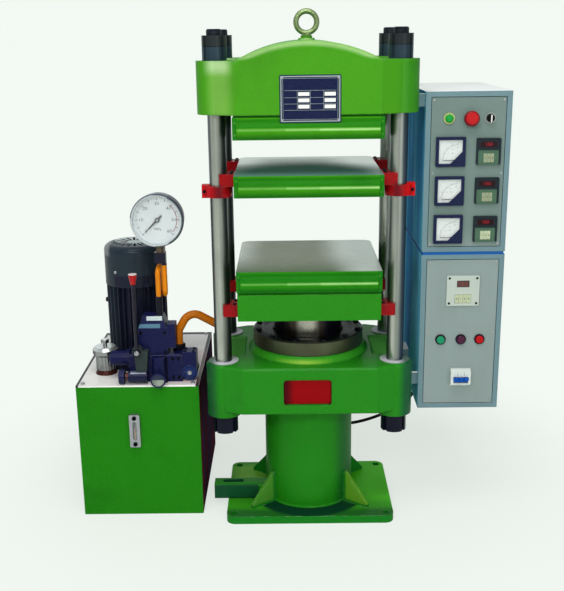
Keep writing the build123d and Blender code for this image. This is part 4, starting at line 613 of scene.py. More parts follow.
class Shape:
    """A mesh under construction, made of turned bodies, plates, borders and arcs."""

    def __init__(self) -> None:
        """Starts an empty shape."""
        self.mesh = bmesh.new()

    def points(self, outline: list[Span], height: float, at: Matrix) -> list[bmesh.types.BMVert]:
        """Points of an outline at one height above its plane."""
        return [self.mesh.verts.new(at @ Vector((px, py, height))) for px, py in outline]

    def strip(self, low: list[bmesh.types.BMVert], high: list[bmesh.types.BMVert], count: int) -> None:
        """Joins two rows of points with faces.

        Args:
            low: The first row; one point alone makes a fan.
            high: The second row.
            count: How many faces to make, one fewer than the points where the rows are open.
        """
        for step in range(count):
            corners = [low[step % len(low)], low[(step + 1) % len(low)]]
            corners += [high[(step + 1) % len(high)], high[step % len(high)]]
            distinct = list(dict.fromkeys(corners))
            if len(distinct) > 2:
                self.mesh.faces.new(distinct)

    def turned(self, profile: list[Span], at: Matrix, sides: int = 48, ring_shaped: bool = False) -> "Shape":
        """Adds a body turned round its local Z axis.

        Args:
            profile: Radius and height of each step, from the bottom to the top.
            at: Where it goes.
            sides: Faces round the axis.
            ring_shaped: Whether the profile closes on itself, round a hole.

        Returns:
            This shape.
        """
        rings = []
        for radius, height in profile:
            count = sides if radius > 0 else 1
            circle = [polar(radius, 360 * step / sides) for step in range(count)]
            rings.append(self.points(circle, height, at))
        after = rings[1:] + rings[:1] if ring_shaped else rings[1:]
        for low, high in zip(rings, after):
            self.strip(low, high, sides)
        for ring in (rings[0], rings[-1]):
            if len(ring) > 2 and not ring_shaped:
                self.mesh.faces.new(ring)
        return self

    def block(self, width: float, height: float, thickness: float, at: Matrix, corner: float = 0.0,
              bevel: float = 0.0) -> "Shape":
        """Adds a rectangular plate with rounded corners.

        Args:
            width: Size across.
            height: Size up.
            thickness: How far it stands out.
            at: Where its middle goes.
            corner: Radius of its corners.
            bevel: Width of the bevel round its front.

        Returns:
            This shape.
        """
        outline = rounded(width, height, corner)
        layers = [(0.0, 1.0), (thickness - bevel, 1.0)]
        if bevel > 0:
            reach = max(math.hypot(px, py) for px, py in outline)
            layers.append((thickness, 1.0 - bevel / reach))
        rings = []
        for level, scale in layers:
            rings.append(self.points([(px * scale, py * scale) for px, py in outline], level, at))
        for low, high in zip(rings, rings[1:]):
            self.strip(low, high, len(outline))
        self.mesh.faces.new(rings[0])
        self.mesh.faces.new(rings[-1])
        return self

    def bar(self, outer: list[Span], inner: list[Span], thickness: float, at: Matrix,
            count: int) -> list[list[bmesh.types.BMVert]]:
        """Adds a bar of rectangular section between two outlines.

        Args:
            outer: Points of its outer edge.
            inner: Points of its inner edge.
            thickness: How far it stands out.
            at: Where it goes.
            count: How many straight lengths it has.

        Returns:
            The four rows of its points.
        """
        rows = [self.points(outline, level, at) for outline in (outer, inner) for level in (0.0, thickness)]
        low_out, high_out, low_in, high_in = rows
        for first, second in ((low_out, high_out), (high_out, high_in), (high_in, low_in), (low_in, low_out)):
            self.strip(first, second, count)
        return rows

    def border(self, width: float, height: float, rim: float, thickness: float, at: Matrix) -> "Shape":
        """Adds a rectangular border.

        Args:
            width: Outer size across.
            height: Outer size up.
            rim: Width of the border.
            thickness: How far it stands out.
            at: Where its middle goes.

        Returns:
            This shape.
        """
        outer = rounded(width, height, 0.0)
        inner = rounded(width - 2 * rim, height - 2 * rim, 0.0)
        self.bar(outer, inner, thickness, at, 4)
        return self

    def arc(self, radius: float, width: float, thickness: float, span: Span, at: Matrix) -> "Shape":
        """Adds a flat curved strip.

        Args:
            radius: Middle radius of the strip.
            width: Width of the strip.
            thickness: How far it stands out.
            span: Angles of its two ends, in degrees from local X.
            at: Where its centre goes.

        Returns:
            This shape.
        """
        start, end = span
        steps = max(6, int(abs(end - start) / 4))
        angles = [start + (end - start) * step / steps for step in range(steps + 1)]
        outer = [polar(radius + width / 2, angle) for angle in angles]
        inner = [polar(radius - width / 2, angle) for angle in angles]
        low_out, high_out, low_in, high_in = self.bar(outer, inner, thickness, at, steps)
        for tip in (0, -1):
            self.mesh.faces.new((low_out[tip], high_out[tip], high_in[tip], low_in[tip]))
        return self

    def data(self, name: str) -> bpy.types.Mesh:
        """Mesh of the shape, which ends here."""
        data = bpy.data.meshes.new(name)
        self.mesh.to_mesh(data)
        self.mesh.free()
        return data

    def piece(self, name: str, finish: Finish, slot: str, body: str = "frame") -> bpy.types.Object:
        """Finishes the mesh and hangs it on a body.

        Args:
            name: The piece's name.
            finish: Its finish.
            slot: Not used.
            body: The CAD body that it rides on.

        Returns:
            The piece.
        """
        bmesh.ops.remove_doubles(self.mesh, verts=self.mesh.verts, dist=1e-6)
        bmesh.ops.recalc_face_normals(self.mesh, faces=self.mesh.faces)
        return finished(name, self.data(name), finish, body)


class Repeater(Tree):
    """A Geometry Nodes tree that copies a small shape over points, built in code."""

    def __init__(self, name: str) -> None:
        """Starts a tree with one geometry output."""
        super().__init__(bpy.data.node_groups.new(name, "GeometryNodeTree"))
        self.tree.interface.new_socket("Geometry", in_out="OUTPUT", socket_type="NodeSocketGeometry")
        self.entry = self.tree.nodes.new("NodeGroupInput")
        self.exit = self.tree.nodes.new("NodeGroupOutput")
        self.values: dict[str, object] = {}

    def size(self, name: str, value: object, kind: str = "NodeSocketFloat") -> bpy.types.NodeSocket:
        """Declares a named input of the tree with its value.

        Args:
            name: The input's name.
            value: What this use of the tree sets it to.
            kind: Its socket type.

        Returns:
            The socket inside the tree.
        """
        item = self.tree.interface.new_socket(name, in_out="INPUT", socket_type=kind)
        self.values[item.identifier] = value
        return self.entry.outputs[name]

    def shape_of(self, name: str, held: bpy.types.Object) -> bpy.types.NodeSocket:
        """Geometry of an object that is an input of the tree."""
        source = {"Object": self.size(name, held, "NodeSocketObject")}
        return self.node("GeometryNodeObjectInfo", {}, source).outputs["Geometry"]

    def copies(self, points: bpy.types.NodeSocket, values: dict) -> bpy.types.NodeSocket:
        """Instances on points."""
        return self.node("GeometryNodeInstanceOnPoints", {}, {"Points": points, **values}).outputs[0]

    def mesh(self, geometry: bpy.types.NodeSocket, finish: Finish, name: str) -> bpy.types.Mesh:
        """Ends the tree, runs it and returns its result as a plain mesh.

        Args:
            geometry: The instances to realize.
            finish: The finish that the tree sets.
            name: Name of the mesh.

        Returns:
            The mesh.
        """
        real = self.node("GeometryNodeRealizeInstances", {}, {0: geometry})
        paint = self.node("GeometryNodeSetMaterial", {}, {0: real.outputs[0], "Material": finish.material()})
        self.feed(self.exit.inputs[0], paint.outputs[0])
        holder = linked(name + "_holder", bpy.data.meshes.new(name + "_holder"))
        modifier = holder.modifiers.new("repeat", "NODES")
        modifier.node_group = self.tree
        for key, value in self.values.items():
            modifier[key] = value
        return frozen(holder)


class Head(Enum):
    """Kinds of screw head."""

    SOCKET = "round with a hexagon hole"
    HEXAGON = "hexagon"
    PAN = "slotted pan"
    RIVET = "domed"


@dataclass
class Screws:
    """A set of equal screws on one body, copied over their places."""

    name: str
    head: Head
    radius: float
    height: float
    places: list[Matrix]
    finish: Finish
    slot: str
    body: str = "frame"

    def prototype(self) -> bpy.types.Object:
        """One head, modelled at the origin and facing along Z.

        Returns:
            The head.
        """
        shape = Shape()
        here = Matrix.Identity(4)
        r, h = self.radius, self.height
        if self.head is Head.HEXAGON:
            shape.turned([(r * 1.1, 0), (r * 1.1, h * 0.15)], here, 20)
            shape.turned([(r, h * 0.15), (r, h * 0.88), (r * 0.86, h), (0, h)], here, 6)
        elif self.head is Head.SOCKET:
            shape.turned([(r, 0), (r, h * 0.85), (r * 0.9, h), (r * 0.55, h)], here, 18)
            shape.turned([(0, h * 0.35), (r * 0.55, h * 0.35), (r * 0.55, h)], here, 6)
        elif self.head is Head.PAN:
            shape.turned([(r, 0), (r, h * 0.4), (r * 0.8, h * 0.85), (0, h)], here, 16)
            shape.block(r * 1.5, r * 0.22, h * 0.12, Matrix.Translation((0, 0, h * 0.93)))
        else:
            shape.turned([(r, 0), (r * 0.92, h * 0.5), (r * 0.6, h * 0.85), (0, h)], here, 14)
        return linked(self.name + "_head", shape.data(self.name + "_head"))

    def build(self) -> bpy.types.Object:
        """Copies the head over all its places.

        Returns:
            The piece with all the screws.
        """
        head = self.prototype()
        spots = bpy.data.meshes.new(self.name + "_spots")
        spots.from_pydata([tuple(at.translation) for at in self.places], [], [])
        turns = spots.attributes.new("turn", "FLOAT_VECTOR", "POINT")
        for item, at in zip(turns.data, self.places):
            item.vector = at.to_euler()
        carrier = linked(self.name + "_spots", spots)
        tree = Repeater(self.name + "_tree")
        cloud = tree.shape_of("Places", carrier)
        shape = tree.shape_of("Head", head)
        scale = tree.size("Size", 1.0)
        turn = tree.node("GeometryNodeInputNamedAttribute", {"data_type": "FLOAT_VECTOR"}, {"Name": "turn"})
        copies = tree.copies(cloud, {"Instance": shape, "Rotation": turn.outputs[0], "Scale": scale})
        data = tree.mesh(copies, self.finish, self.name)
        for spent in (carrier, head):
            bpy.data.objects.remove(spent)
        return finished(self.name, data, self.finish, self.body)


@dataclass
class Scale:
    """Graduation marks round a dial, one row of equal strokes on an arc."""

    name: str
    at: Matrix
    radius: float
    stroke: Point
    start: float
    sweep: float
    count: int

    def build(self, finish: Finish, slot: str) -> bpy.types.Object:
        """Runs the row of strokes and makes it a piece.

        Args:
            finish: The finish of the strokes.
            slot: Not used.

        Returns:
            The row.
        """
        tree = Repeater(self.name + "_tree")
        sizes = {
            "Resolution": tree.size("Marks", self.count, "NodeSocketInt"),
            "Radius": tree.size("Radius", self.radius),
            "Start Angle": tree.size("Start", math.radians(self.start)),
            "Sweep Angle": tree.size("Sweep", math.radians(self.sweep)),
        }
        stroke = tree.size("Stroke", self.stroke, "NodeSocketVector")
        arc = tree.node("GeometryNodeCurveArc", {"mode": "RADIUS"}, sizes)
        points = tree.node("GeometryNodeCurveToPoints", {"mode": "EVALUATED"}, {0: arc.outputs[0]})
        mark = tree.node("GeometryNodeMeshCube", {}, {"Size": stroke})
        place = tree.node("GeometryNodeInputPosition", {}, {})
        turn = tree.node("FunctionNodeAlignRotationToVector", {"axis": "X"}, {"Vector": place.outputs[0]})
        copies = tree.copies(points.outputs[0], {"Instance": mark.outputs[0], "Rotation": turn.outputs[0]})
        data = tree.mesh(copies, finish, self.name)
        data.transform(self.at)
        return finished(self.name, data, finish, "frame")


@dataclass
class Bead:
    """A rope-like weld bead or thread that follows a closed or open path."""

    name: str
    path: list[Point]
    radius: float
    closed: bool
    ripple: float = 0.25
    pitch: float = 0.006

    def build(self, finish: Finish, slot: str) -> bpy.types.Object:
        """Sweeps a rippled round bead along the path.

        Args:
            finish: The bead's finish.
            slot: Not used.

        Returns:
            The bead.
        """
        line, spline = line_through(self.name + "_line", self.path, "POLY")
        spline.use_cyclic_u = self.closed
        carrier = linked(self.name + "_line", line)
        tree = Repeater(self.name + "_tree")
        path = tree.shape_of("Path", carrier)
        radius = tree.size("Radius", self.radius)
        ripple = tree.size("Ripple", self.ripple)
        pitch = tree.size("Pitch", self.pitch)
        even = tree.node("GeometryNodeResampleCurve", {"mode": "LENGTH"}, {0: path, "Length": pitch})
        grain = tree.node("FunctionNodeRandomValue", {"data_type": "FLOAT"}, {2: 0.0, 3: 1.0, "Seed": 7})
        values = {0: grain.outputs[1], 1: ripple, 2: 0.85}
        uneven = tree.node("ShaderNodeMath", {"operation": "MULTIPLY_ADD"}, values)
        section = tree.node("GeometryNodeCurvePrimitiveCircle", {}, {"Resolution": 8, "Radius": radius})
        swept = tree.node("GeometryNodeCurveToMesh", {}, {
            "Curve": even.outputs[0], "Profile Curve": section.outputs[0], "Scale": uneven.outputs[0],
            "Fill Caps": True})
        data = tree.mesh(swept.outputs[0], finish, self.name)
        bpy.data.objects.remove(carrier)
        return finished(self.name, data, finish, "frame")


def lettering(name: str, words: list[tuple[str, Span, float]], at: Matrix, finish: Finish) -> bpy.types.Object:
    """Makes dial figures as thin raised shapes.

    Args:
        name: The piece's name.
        words: Each figure's text, its middle in local X and Y, and its height.
        at: The plane that they stand on.
        finish: Their finish.

    Returns:
        One piece with all the figures.
    """
    whole = Shape()
    for text, (px, py), size in words:
        curve = bpy.data.curves.new(name, "FONT")
        curve.body = text
        curve.size = size
        curve.align_x = "CENTER"
        curve.align_y = "CENTER"
        curve.resolution_u = 2
        curve.extrude = 0.00008
        part = frozen(linked(name, curve))
        part.transform(at @ Matrix.Translation((px, py, 0.0)))
        whole.mesh.from_mesh(part)
    bmesh.ops.recalc_face_normals(whole.mesh, faces=whole.mesh.faces)
    return finished(name, whole.data(name), finish, "frame")


GREEN = (29, 130, 16)
CROWN_GREEN = (66, 147, 20)
TANK_GREEN = (36, 127, 22)
NAVY = (18, 22, 66)
PRESS_AXIS = (0.0, 0.0)
ARCH_CENTRE = (0.0, 0.0, 0.9891)
SPOT_RADIUS = 0.0428
GAUGE = (-0.423, -0.086, 0.900)
THROTTLE = (-0.437, -0.1345, 0.437)
COCK = (-0.350, -0.083, 0.442)
METER_HEIGHTS = (1.0855, 0.979, 0.8725)
ESTOP = (0.437, -0.124, 1.1765)
PRINT = 0.0003

FRONT, BACK, LEFT, RIGHT, UP = (1, -1.0), (1, 1.0), (0, -1.0), (0, 1.0), (2, 1.0)


def front_ring(place: Point, reach: Span) -> tuple[Point, int, Span]:
    """Region between two radii of an axis that runs from front to back."""
    return ((place[0], 0.0, place[2]), 1, reach)


def upright_ring(place: Span, reach: Span) -> tuple[Point, int, Span]:
    """Region between two radii of an upright axis."""
    return ((*place, 0.0), 2, reach)


PRESS_ENAMEL = Finish(
    "press_enamel", Paint(GREEN, 0.4), Surface.ENAMEL, edge=0.002, wear=0.3, coat=0.06,
    above=CROWN_GREEN, heights=(0.45, 1.35),
    patches=(
        # Painted shade down the right side of the barrel.
        Patch(Paint((12, 92, 34), 0.5), x=(0.085, 0.135), z=(0.024, 0.355), soft=0.02, share=0.8),
        Patch(Paint((12, 76, 42), 0.5), x=(-0.32, -0.155), z=(0.024, 0.09), facing=FRONT),
    ),
)
COVER_LOWS = (0.716, 0.978, 1.131)
COVER_ENDS = Paint((26, 118, 28), 0.4)
COVER_ENAMEL = Finish(
    "cover_enamel", Paint(GREEN, 0.4), Surface.ENAMEL, edge=0.001, coat=0.04, gloss=0.0, above=CROWN_GREEN,
    heights=(0.45, 1.35),
    patches=tuple(
        # Painted shade on the underside of each cover's bulge.
        Patch(Paint((22, 104, 26), 0.45), z=(low - 0.02, low + 0.012), soft=0.009, share=0.7)
        for low in COVER_LOWS
    ) + tuple(
        # Painted shade in the recess between each bulge and the shelf above it.
        Patch(Paint((14, 106, 14), 0.45), z=(low + 0.0315, low + 0.0545), soft=0.002, share=0.7)
        for low in COVER_LOWS
    ) + tuple(
        # Painted highlight: a bright line along the crest of each bulge, fainter to the left.
        Patch(Paint((188, 240, 150), 0.4), x=(start, 0.186), z=(low + 0.0245, low + 0.0290),
              soft=0.0028, share=share)
        for low in COVER_LOWS
        for start, share in ((-0.186, 0.22), (-0.06, 0.3), (0.03, 0.45))
    ) + (
        Patch(COVER_ENDS, x=(-0.2, -0.1885), soft=0.0015, share=0.7),
        Patch(COVER_ENDS, x=(0.1885, 0.2), soft=0.0015, share=0.7),
    ),
)
CAST_ENAMEL = Finish(
    "beam_enamel", Paint(GREEN, 0.42), Surface.ENAMEL, edge=0.005, wear=0.25, coat=0.1,
    above=CROWN_GREEN, heights=(0.45, 1.25),
    patches=tuple(
        Patch(Paint((206, 204, 214), 0.4), z=(0.4965, 0.6), ring=upright_ring(column, (0.0, SPOT_RADIUS)))
        for column in COLUMNS
    ) + (
        # Dark red in the pocket round the red panel: red paint with painted shade in the recess.
        Patch(Paint((74, 6, 10), 0.5), x=(-0.0735, 0.0615), y=(-0.2078, -0.19), z=(0.3865, 0.4615)),
        # Painted highlights on the crown's left ear and along the front edge of its arch, and painted shade on
        # its right ear.
        Patch(Paint((168, 208, 112), 0.4), x=(-0.258, -0.202), z=(1.19, 1.335), facing=FRONT,
              soft=0.018, share=0.3),
        Patch(Paint((222, 240, 200), 0.4), x=(-0.262, -0.206), z=(1.305, 1.34), facing=FRONT,
              soft=0.016, share=0.4),
        Patch(Paint((46, 128, 24), 0.45), x=(0.245, 0.31), z=(1.19, 1.335), soft=0.022, share=0.8),
        Patch(Paint((186, 220, 150), 0.4), z=(1.337, 1.39), facing=FRONT, soft=0.006, share=0.55,
              ring=front_ring(ARCH_CENTRE, (0.381, 0.41))),
        # Painted shade on both ends of the lower beam.
        Patch(Paint((14, 82, 40), 0.45), x=(-0.33, -0.266), z=(0.32, 0.51), soft=0.014, share=0.9),
        Patch(Paint((14, 82, 50), 0.45), x=(0.262, 0.33), z=(0.32, 0.51), soft=0.014, share=0.9),
        # Painted light on the front faces of the rear ears, which stand in shade.
        Patch(Paint((90, 172, 76), 0.45), y=(0.04, 0.15), z=(0.3, 0.52), facing=FRONT, soft=0.01),
        # Painted highlight on the cone round the gland.
        Patch(Paint((70, 176, 40), 0.35), y=(-0.3, -0.06), z=(0.4985, 0.53),
              ring=upright_ring(PRESS_AXIS, (0.168, 0.25)), soft=0.004, share=0.5),
    ) + tuple(
        # More painted highlight on the cone, in soft nested steps just left of the middle.
        Patch(Paint((206, 232, 80), 0.3), x=(-0.014 - half, -0.014 + half), y=(-0.3, -0.09), z=(0.4985, 0.53),
              ring=upright_ring(PRESS_AXIS, (0.172, 0.25)), soft=0.003, share=0.08)
        for half in (0.012, 0.020, 0.030, 0.041, 0.053, 0.066, 0.080)
    ),
)
FOOT_SHADE = Paint((4, 56, 34), 0.5)
FOOT_ENAMEL = Finish(
    "foot_enamel", Paint((18, 122, 26), 0.45), Surface.ENAMEL, edge=0.0015, wear=0.5, coat=0.05,
    patches=(
        # Painted light on the top of the base plate.
        Patch(Paint((58, 156, 28), 0.5), facing=UP, z=(0.0, 0.026), soft=0.001),
        Patch(FOOT_SHADE, y=(-0.30, -0.03), z=(-0.05, 0.045), facing=UP, soft=0.01,
              ring=upright_ring(PRESS_AXIS, (0.10, 0.185))),
        Patch(FOOT_SHADE, x=(-0.35, 0.35), y=(-0.30, -0.138), z=(-0.1, 0.1),
              facing=UP, soft=0.02, share=0.7),
        # Painted light on the right rear of the base plate, a painted highlight on its left rear, and painted
        # highlights on the front ribs.
        Patch(Paint((84, 208, 28), 0.5), x=(0.12, 0.35), y=(-0.09, 0.35), z=(-0.1, 0.1),
              facing=UP, soft=0.03, share=0.8),
        Patch(Paint((150, 210, 80), 0.5), x=(-0.24, -0.11), y=(-0.03, 0.16), z=(-0.1, 0.1),
              facing=UP, soft=0.03, share=0.5),
        Patch(Paint((112, 170, 40), 0.5), x=(0.11, 0.21), y=(-0.2, -0.05), z=(0.032, 0.14),
              soft=0.004, share=0.7),
        Patch(Paint((112, 170, 60), 0.5), x=(-0.21, -0.11), y=(-0.2, -0.05), z=(0.032, 0.14),
              soft=0.004, share=0.4),
    ),
)
TANK_ENAMEL = Finish(
    "tank_enamel", Paint(TANK_GREEN, 0.42), Surface.ENAMEL, edge=0.0012, gloss=0.0,
    # Painted shade, with streaks, on the tank's right side.
    patches=(Patch(Paint((96, 40, 54), 0.9), facing=RIGHT, streak=(58, 52, 78)),),
)
LID_EDGE = Paint((30, 26, 34), 0.5)
LID_ENAMEL = Finish(
    "lid_enamel", Paint((246, 244, 240), 0.25), Surface.ENAMEL, coat=0.3, edge=0.0008,
    patches=(
        Patch(LID_EDGE, x=(-0.69, -0.6745)),
        Patch(LID_EDGE, y=(0.362, 0.39)),
        Patch(LID_EDGE, x=(-0.3315, -0.31)),
        # Painted reflection and shadow of the valve group on the lid.
        Patch(Paint((176, 132, 136), 0.3), x=(-0.44, -0.33), y=(-0.1, 0.2), facing=UP, soft=0.03, share=0.6),
    ),
)
RED_ENAMEL = Finish(
    "red_enamel", Paint((150, 8, 16), 0.34), Surface.ENAMEL, edge=0.0012, wear=0.15, coat=0.08,
    # Painted shade beside the columns and painted highlights at the outer ends of the red parts at collar
    # height.
    patches=tuple(
        Patch(paint, x=across, z=(0.96, 1.01), soft=soft, share=share)
        for paint, across, soft, share in (
            (Paint((84, 6, 20), 0.4), (-0.252, -0.232), 0.010, 0.8),
            (Paint((84, 6, 20), 0.4), (0.228, 0.248), 0.010, 0.8),
            (Paint((208, 0, 6), 0.3), (0.262, 0.30), 0.008, 0.8),
            (Paint((208, 6, 26), 0.3), (-0.30, -0.262), 0.008, 0.5),
        )
    ),
)
PANEL_RED = Finish(
    "beam_panel_red", Paint((146, 0, 6), 0.4), Surface.MOULDED,
    # Painted shade in the left of the recessed panel.
    patches=(Patch(Paint((84, 2, 12), 0.45), x=(-0.1, -0.052), soft=0.012),),
)
GROUND_COLUMN = Finish(
    "ground_column", Paint((182, 186, 176), 0.26, 1.0), Surface.GROUND, grain=(1.0, 1.0, 0.06),
    patches=(
        # Vertical bands of painted shade and painted highlight across the columns, a painted reflection of the
        # blue box on the right columns, and painted shade on the rear left column.
        Patch(Paint((120, 124, 116), 0.3, 0.95), x=(-0.2420, -0.20), soft=0.006),
        Patch(Paint((56, 62, 60), 0.3, 0.8), x=(-0.2330, -0.20), soft=0.005),
        Patch(Paint((92, 97, 99), 0.3, 0.9), x=(-0.29, -0.2605), soft=0.003),
        Patch(Paint((150, 156, 148), 0.3, 0.95), x=(0.2400, 0.29), soft=0.004),
        Patch(Paint((96, 108, 102), 0.3, 0.9), x=(0.20, 0.2280), soft=0.004),
        Patch(Paint((30, 54, 76), 0.3, 0.7), x=(0.2530, 0.29), soft=0.007, share=0.9),
        Patch(Paint((52, 58, 60), 0.35, 0.6), x=(-0.29, -0.2), y=(0.05, 0.3), soft=0.004, share=0.6),
        Patch(Paint((26, 30, 44), 0.4, 0.4), z=(1.334, 1.6)),
    ),
)
BLACK_NUT = Finish(
    "black_nut", Paint((16, 18, 38), 0.34, 0.3), Surface.TURNED, edge=0.0012, coat=0.15,
    above=(48, 66, 78), heights=(0.5, 1.3),
    patches=(
        Patch(Paint((46, 52, 54), 0.36, 0.3), z=(1.3695, 1.42)),
        Patch(Paint((8, 10, 14), 0.5), z=(1.3680, 1.3698)),
    ),
)
EYE_STEEL = Finish(
    "eye_steel", Paint((132, 150, 104), 0.3, 0.7), Surface.PLATED,
    patches=(Patch(Paint((70, 130, 30), 0.4), z=(1.38, 1.3945), soft=0.002),),
)
GLAND_STEEL = Finish(
    "gland_steel", Paint((92, 96, 74), 0.3, 0.8), Surface.TURNED, edge=0.0015,
    patches=(Patch(Paint((20, 24, 28), 0.3, 0.4), facing=UP),),
)
RAM_SHADE = Paint((26, 24, 36), 0.35, 0.5)
RAM_CHROME = Finish(
    "ram_chrome", Paint((62, 56, 50), 0.3, 0.9), Surface.PLATED,
    patches=(
        # Painted highlight down the middle of the ram; RAM_SHADE paints the shade at its sides.
        Patch(Paint((176, 174, 160), 0.25, 1.0), x=(-0.030, 0.022), soft=0.012),
        Patch(RAM_SHADE, x=(0.045, 0.12), soft=0.012),
        Patch(RAM_SHADE, x=(-0.12, -0.07), soft=0.012),
    ),
)
PLATE_PAINT = Paint((190, 197, 186), 0.2, 1.0)
PLATE_SIDES = tuple(Patch(Paint((44, 134, 26), 0.5), facing=side) for side in (FRONT, BACK, LEFT, RIGHT))
LOWER_PLATE = Finish(
    "lower_plate", PLATE_PAINT, Surface.POLISHED, edge=0.001, gloss=0.0,
    patches=(
        # Painted reflections on the polished top: lighter in the middle and to the right, darker towards the
        # front.
        Patch(Paint((174, 182, 160), 0.4, 0.1), x=(-0.175, 0.075), facing=UP, soft=0.06, share=0.85),
        Patch(Paint((84, 104, 80), 0.4, 0.0), y=(-0.9, -0.12), facing=UP, soft=0.13),
        Patch(Paint((206, 216, 206), 0.3, 0.6), x=(0.105, 0.4), facing=UP, soft=0.05, share=0.75),
    ) + PLATE_SIDES,
)
MIDDLE_PLATE = Finish(
    "middle_plate", PLATE_PAINT, Surface.POLISHED, edge=0.001, gloss=0.0,
    patches=(
        # Painted reflections on the polished top: lighter to the left and middle, and a dark green painted
        # reflection round the front middle.
        Patch(Paint((176, 178, 166), 0.3, 0.4), x=(-0.5, -0.09), y=(-0.5, 0.02), facing=UP,
              soft=0.06, share=0.7),
        Patch(Paint((160, 172, 160), 0.3, 0.3), x=(-0.14, 0.09), y=(-0.5, 0.16), facing=UP,
              soft=0.06, share=0.6),
        Patch(Paint((92, 134, 120), 0.35, 0.0), facing=UP, soft=0.085,
              ring=upright_ring((-0.022, -0.2), (-1.0, 0.245))),
    ) + PLATE_SIDES,
)
UPPER_PLATE = Finish("upper_plate", PLATE_PAINT, Surface.POLISHED, edge=0.001, patches=PLATE_SIDES)
BOARD = Finish(
    "pressed_board", Paint((96, 106, 84), 0.8), Surface.CAST,
    patches=(Patch(Paint((34, 128, 24), 0.6), facing=FRONT),),
)
CHROME = Finish(
    "chrome", Paint((150, 152, 152), 0.16, 1.0), Surface.PLATED,
    patches=(
        # Painted reflections on the filler cap: darker sides and a bright top.
        Patch(Paint((54, 56, 60), 0.2, 0.9), facing=LEFT),
        Patch(Paint((74, 74, 76), 0.2, 0.9), facing=RIGHT),
        Patch(Paint((226, 230, 228), 0.3, 0.8), facing=UP),
    ),
)
SATIN_STEEL = Finish("satin_steel", Paint((170, 172, 176), 0.35, 0.9), Surface.PLATED)
DARK_SCREW = Finish("dark_screw", Paint((26, 28, 36), 0.35, 0.6), Surface.PLATED)
BLACK_LINE = Finish("black_line", Paint((34, 40, 42), 0.6), Surface.MOULDED)
WHITE_PRINT = Finish("white_print", Paint((232, 234, 228), 0.5), Surface.MOULDED)
CLEAR = Finish("clear_pane", Paint((236, 240, 240), 0.06), Surface.PLATED, gloss=0.25, alpha=0.09)
DIAL_GREY = Finish("dial_grey", Paint((150, 158, 160), 0.5), Surface.MOULDED)
COPPER = Finish("filler_copper", Paint((74, 38, 32), 0.4, 0.3), Surface.TURNED)
MOTOR_SLATE = Finish(
    "motor_slate", Paint((22, 25, 44), 0.4), Surface.ENAMEL, edge=0.001, coat=0.08,
    # Painted highlight down the left flank of the motor.
    patches=(Patch(Paint((40, 48, 60), 0.42), x=(-0.62, -0.567), soft=0.006),),
)
FAN_SLATE = Finish(
    "fan_slate", Paint((34, 46, 56), 0.34), Surface.ENAMEL, edge=0.001, coat=0.15,
    patches=(
        Patch(Paint((176, 184, 184), 0.34, 0.5), z=(0.75, 0.85), facing=UP,
              ring=upright_ring((-0.522, 0.132), (-1.0, 0.064)), soft=0.003),
        # Painted highlight on the fan cover's left shoulder.
        Patch(Paint((150, 156, 160), 0.34), x=(-0.63, -0.590), z=(0.768, 0.85), soft=0.007, share=0.6),
        Patch(Paint((22, 24, 44), 0.4), x=(-0.575, -0.42), y=(-0.2, 0.1), z=(0.66, 0.712),
              soft=0.003, share=0.9),
    ),
)
ROTOR = Finish("rotor_iron", Paint((110, 110, 112), 0.5, 0.8), Surface.CAST)
PUMP = Finish("pump_alloy", Paint((160, 162, 164), 0.45, 0.8), Surface.CAST)
COCK_BLUE = Paint((26, 50, 112), 0.35)
VALVE_NAVY = Finish(
    "valve_navy", Paint(NAVY, 0.36), Surface.ENAMEL, edge=0.0012, coat=0.08, wear=0.2,
    patches=(
        Patch(COCK_BLUE, y=(-0.0835, -0.0795), ring=front_ring(COCK, (0.0082, 0.0158))),
        Patch(COCK_BLUE, y=(-0.0835, -0.0825), ring=front_ring(COCK, (0.0195, 0.0222))),
        # Painted shade on faces that look right.
        Patch(Paint((10, 11, 26), 0.4), facing=RIGHT, share=0.8),
        # Painted highlight along the front edge of the solenoid's cap.
        Patch(Paint((96, 144, 164), 0.3), x=(-0.51, -0.431), y=(-0.09, -0.02), z=(0.5805, 0.5915),
              soft=0.0015, share=0.7),
        Patch(Paint((20, 22, 30), 0.4), z=(0.6155, 0.67)),
    ),
)
RELIEF_NAVY = Finish(
    "relief_navy", Paint((22, 24, 58), 0.34, 0.1), Surface.TURNED, edge=0.0008, coat=0.2,
    turned=((0, -0.102, 0.439), 0),
    patches=(
        Patch(Paint((92, 52, 44), 0.4, 0.5), x=(-0.5355, -0.5275)),
        # Painted highlight line on the relief valve body.
        Patch(Paint((150, 156, 176), 0.25, 0.8), z=(0.4515, 0.46), x=(-0.52, -0.475), soft=0.001),
    ),
)
KNOB_FACE = (-0.1385, -0.1335)
KNOB = Finish(
    "knob_navy", Paint((22, 26, 70), 0.36, 0.2), Surface.PLATED, edge=0.0006, gloss=0.3,
    patches=(
        Patch(Paint((48, 58, 78), 0.28, 0.6), y=KNOB_FACE, ring=front_ring(THROTTLE, (0.0, 0.0172))),
        # Painted reflection, streaked, on the lower half of the throttle knob's face.
        Patch(Paint((196, 204, 186), 0.28, 0.6), y=KNOB_FACE, z=(0.42, THROTTLE[2] + 0.002),
              ring=front_ring(THROTTLE, (0.0, 0.0172)), streak=(110, 122, 116), soft=0.001),
    ),
)
GREY_CASTING = Finish("grey_casting", Paint((54, 64, 62), 0.6, 0.2), Surface.CAST, edge=0.001)
LEVER = Finish(
    "lever_plate", Paint((34, 32, 46), 0.35, 0.4), Surface.PLATED, gloss=0.3,
    patches=(
        Patch(Paint((176, 8, 16), 0.3), z=(0.7205, 0.7500)),
        Patch(Paint((236, 226, 222), 0.25, 0.3), z=(0.7500, 0.76)),
    ),
)
NEEDLE = Finish("needle_black", Paint((18, 20, 24), 0.5), Surface.MOULDED)
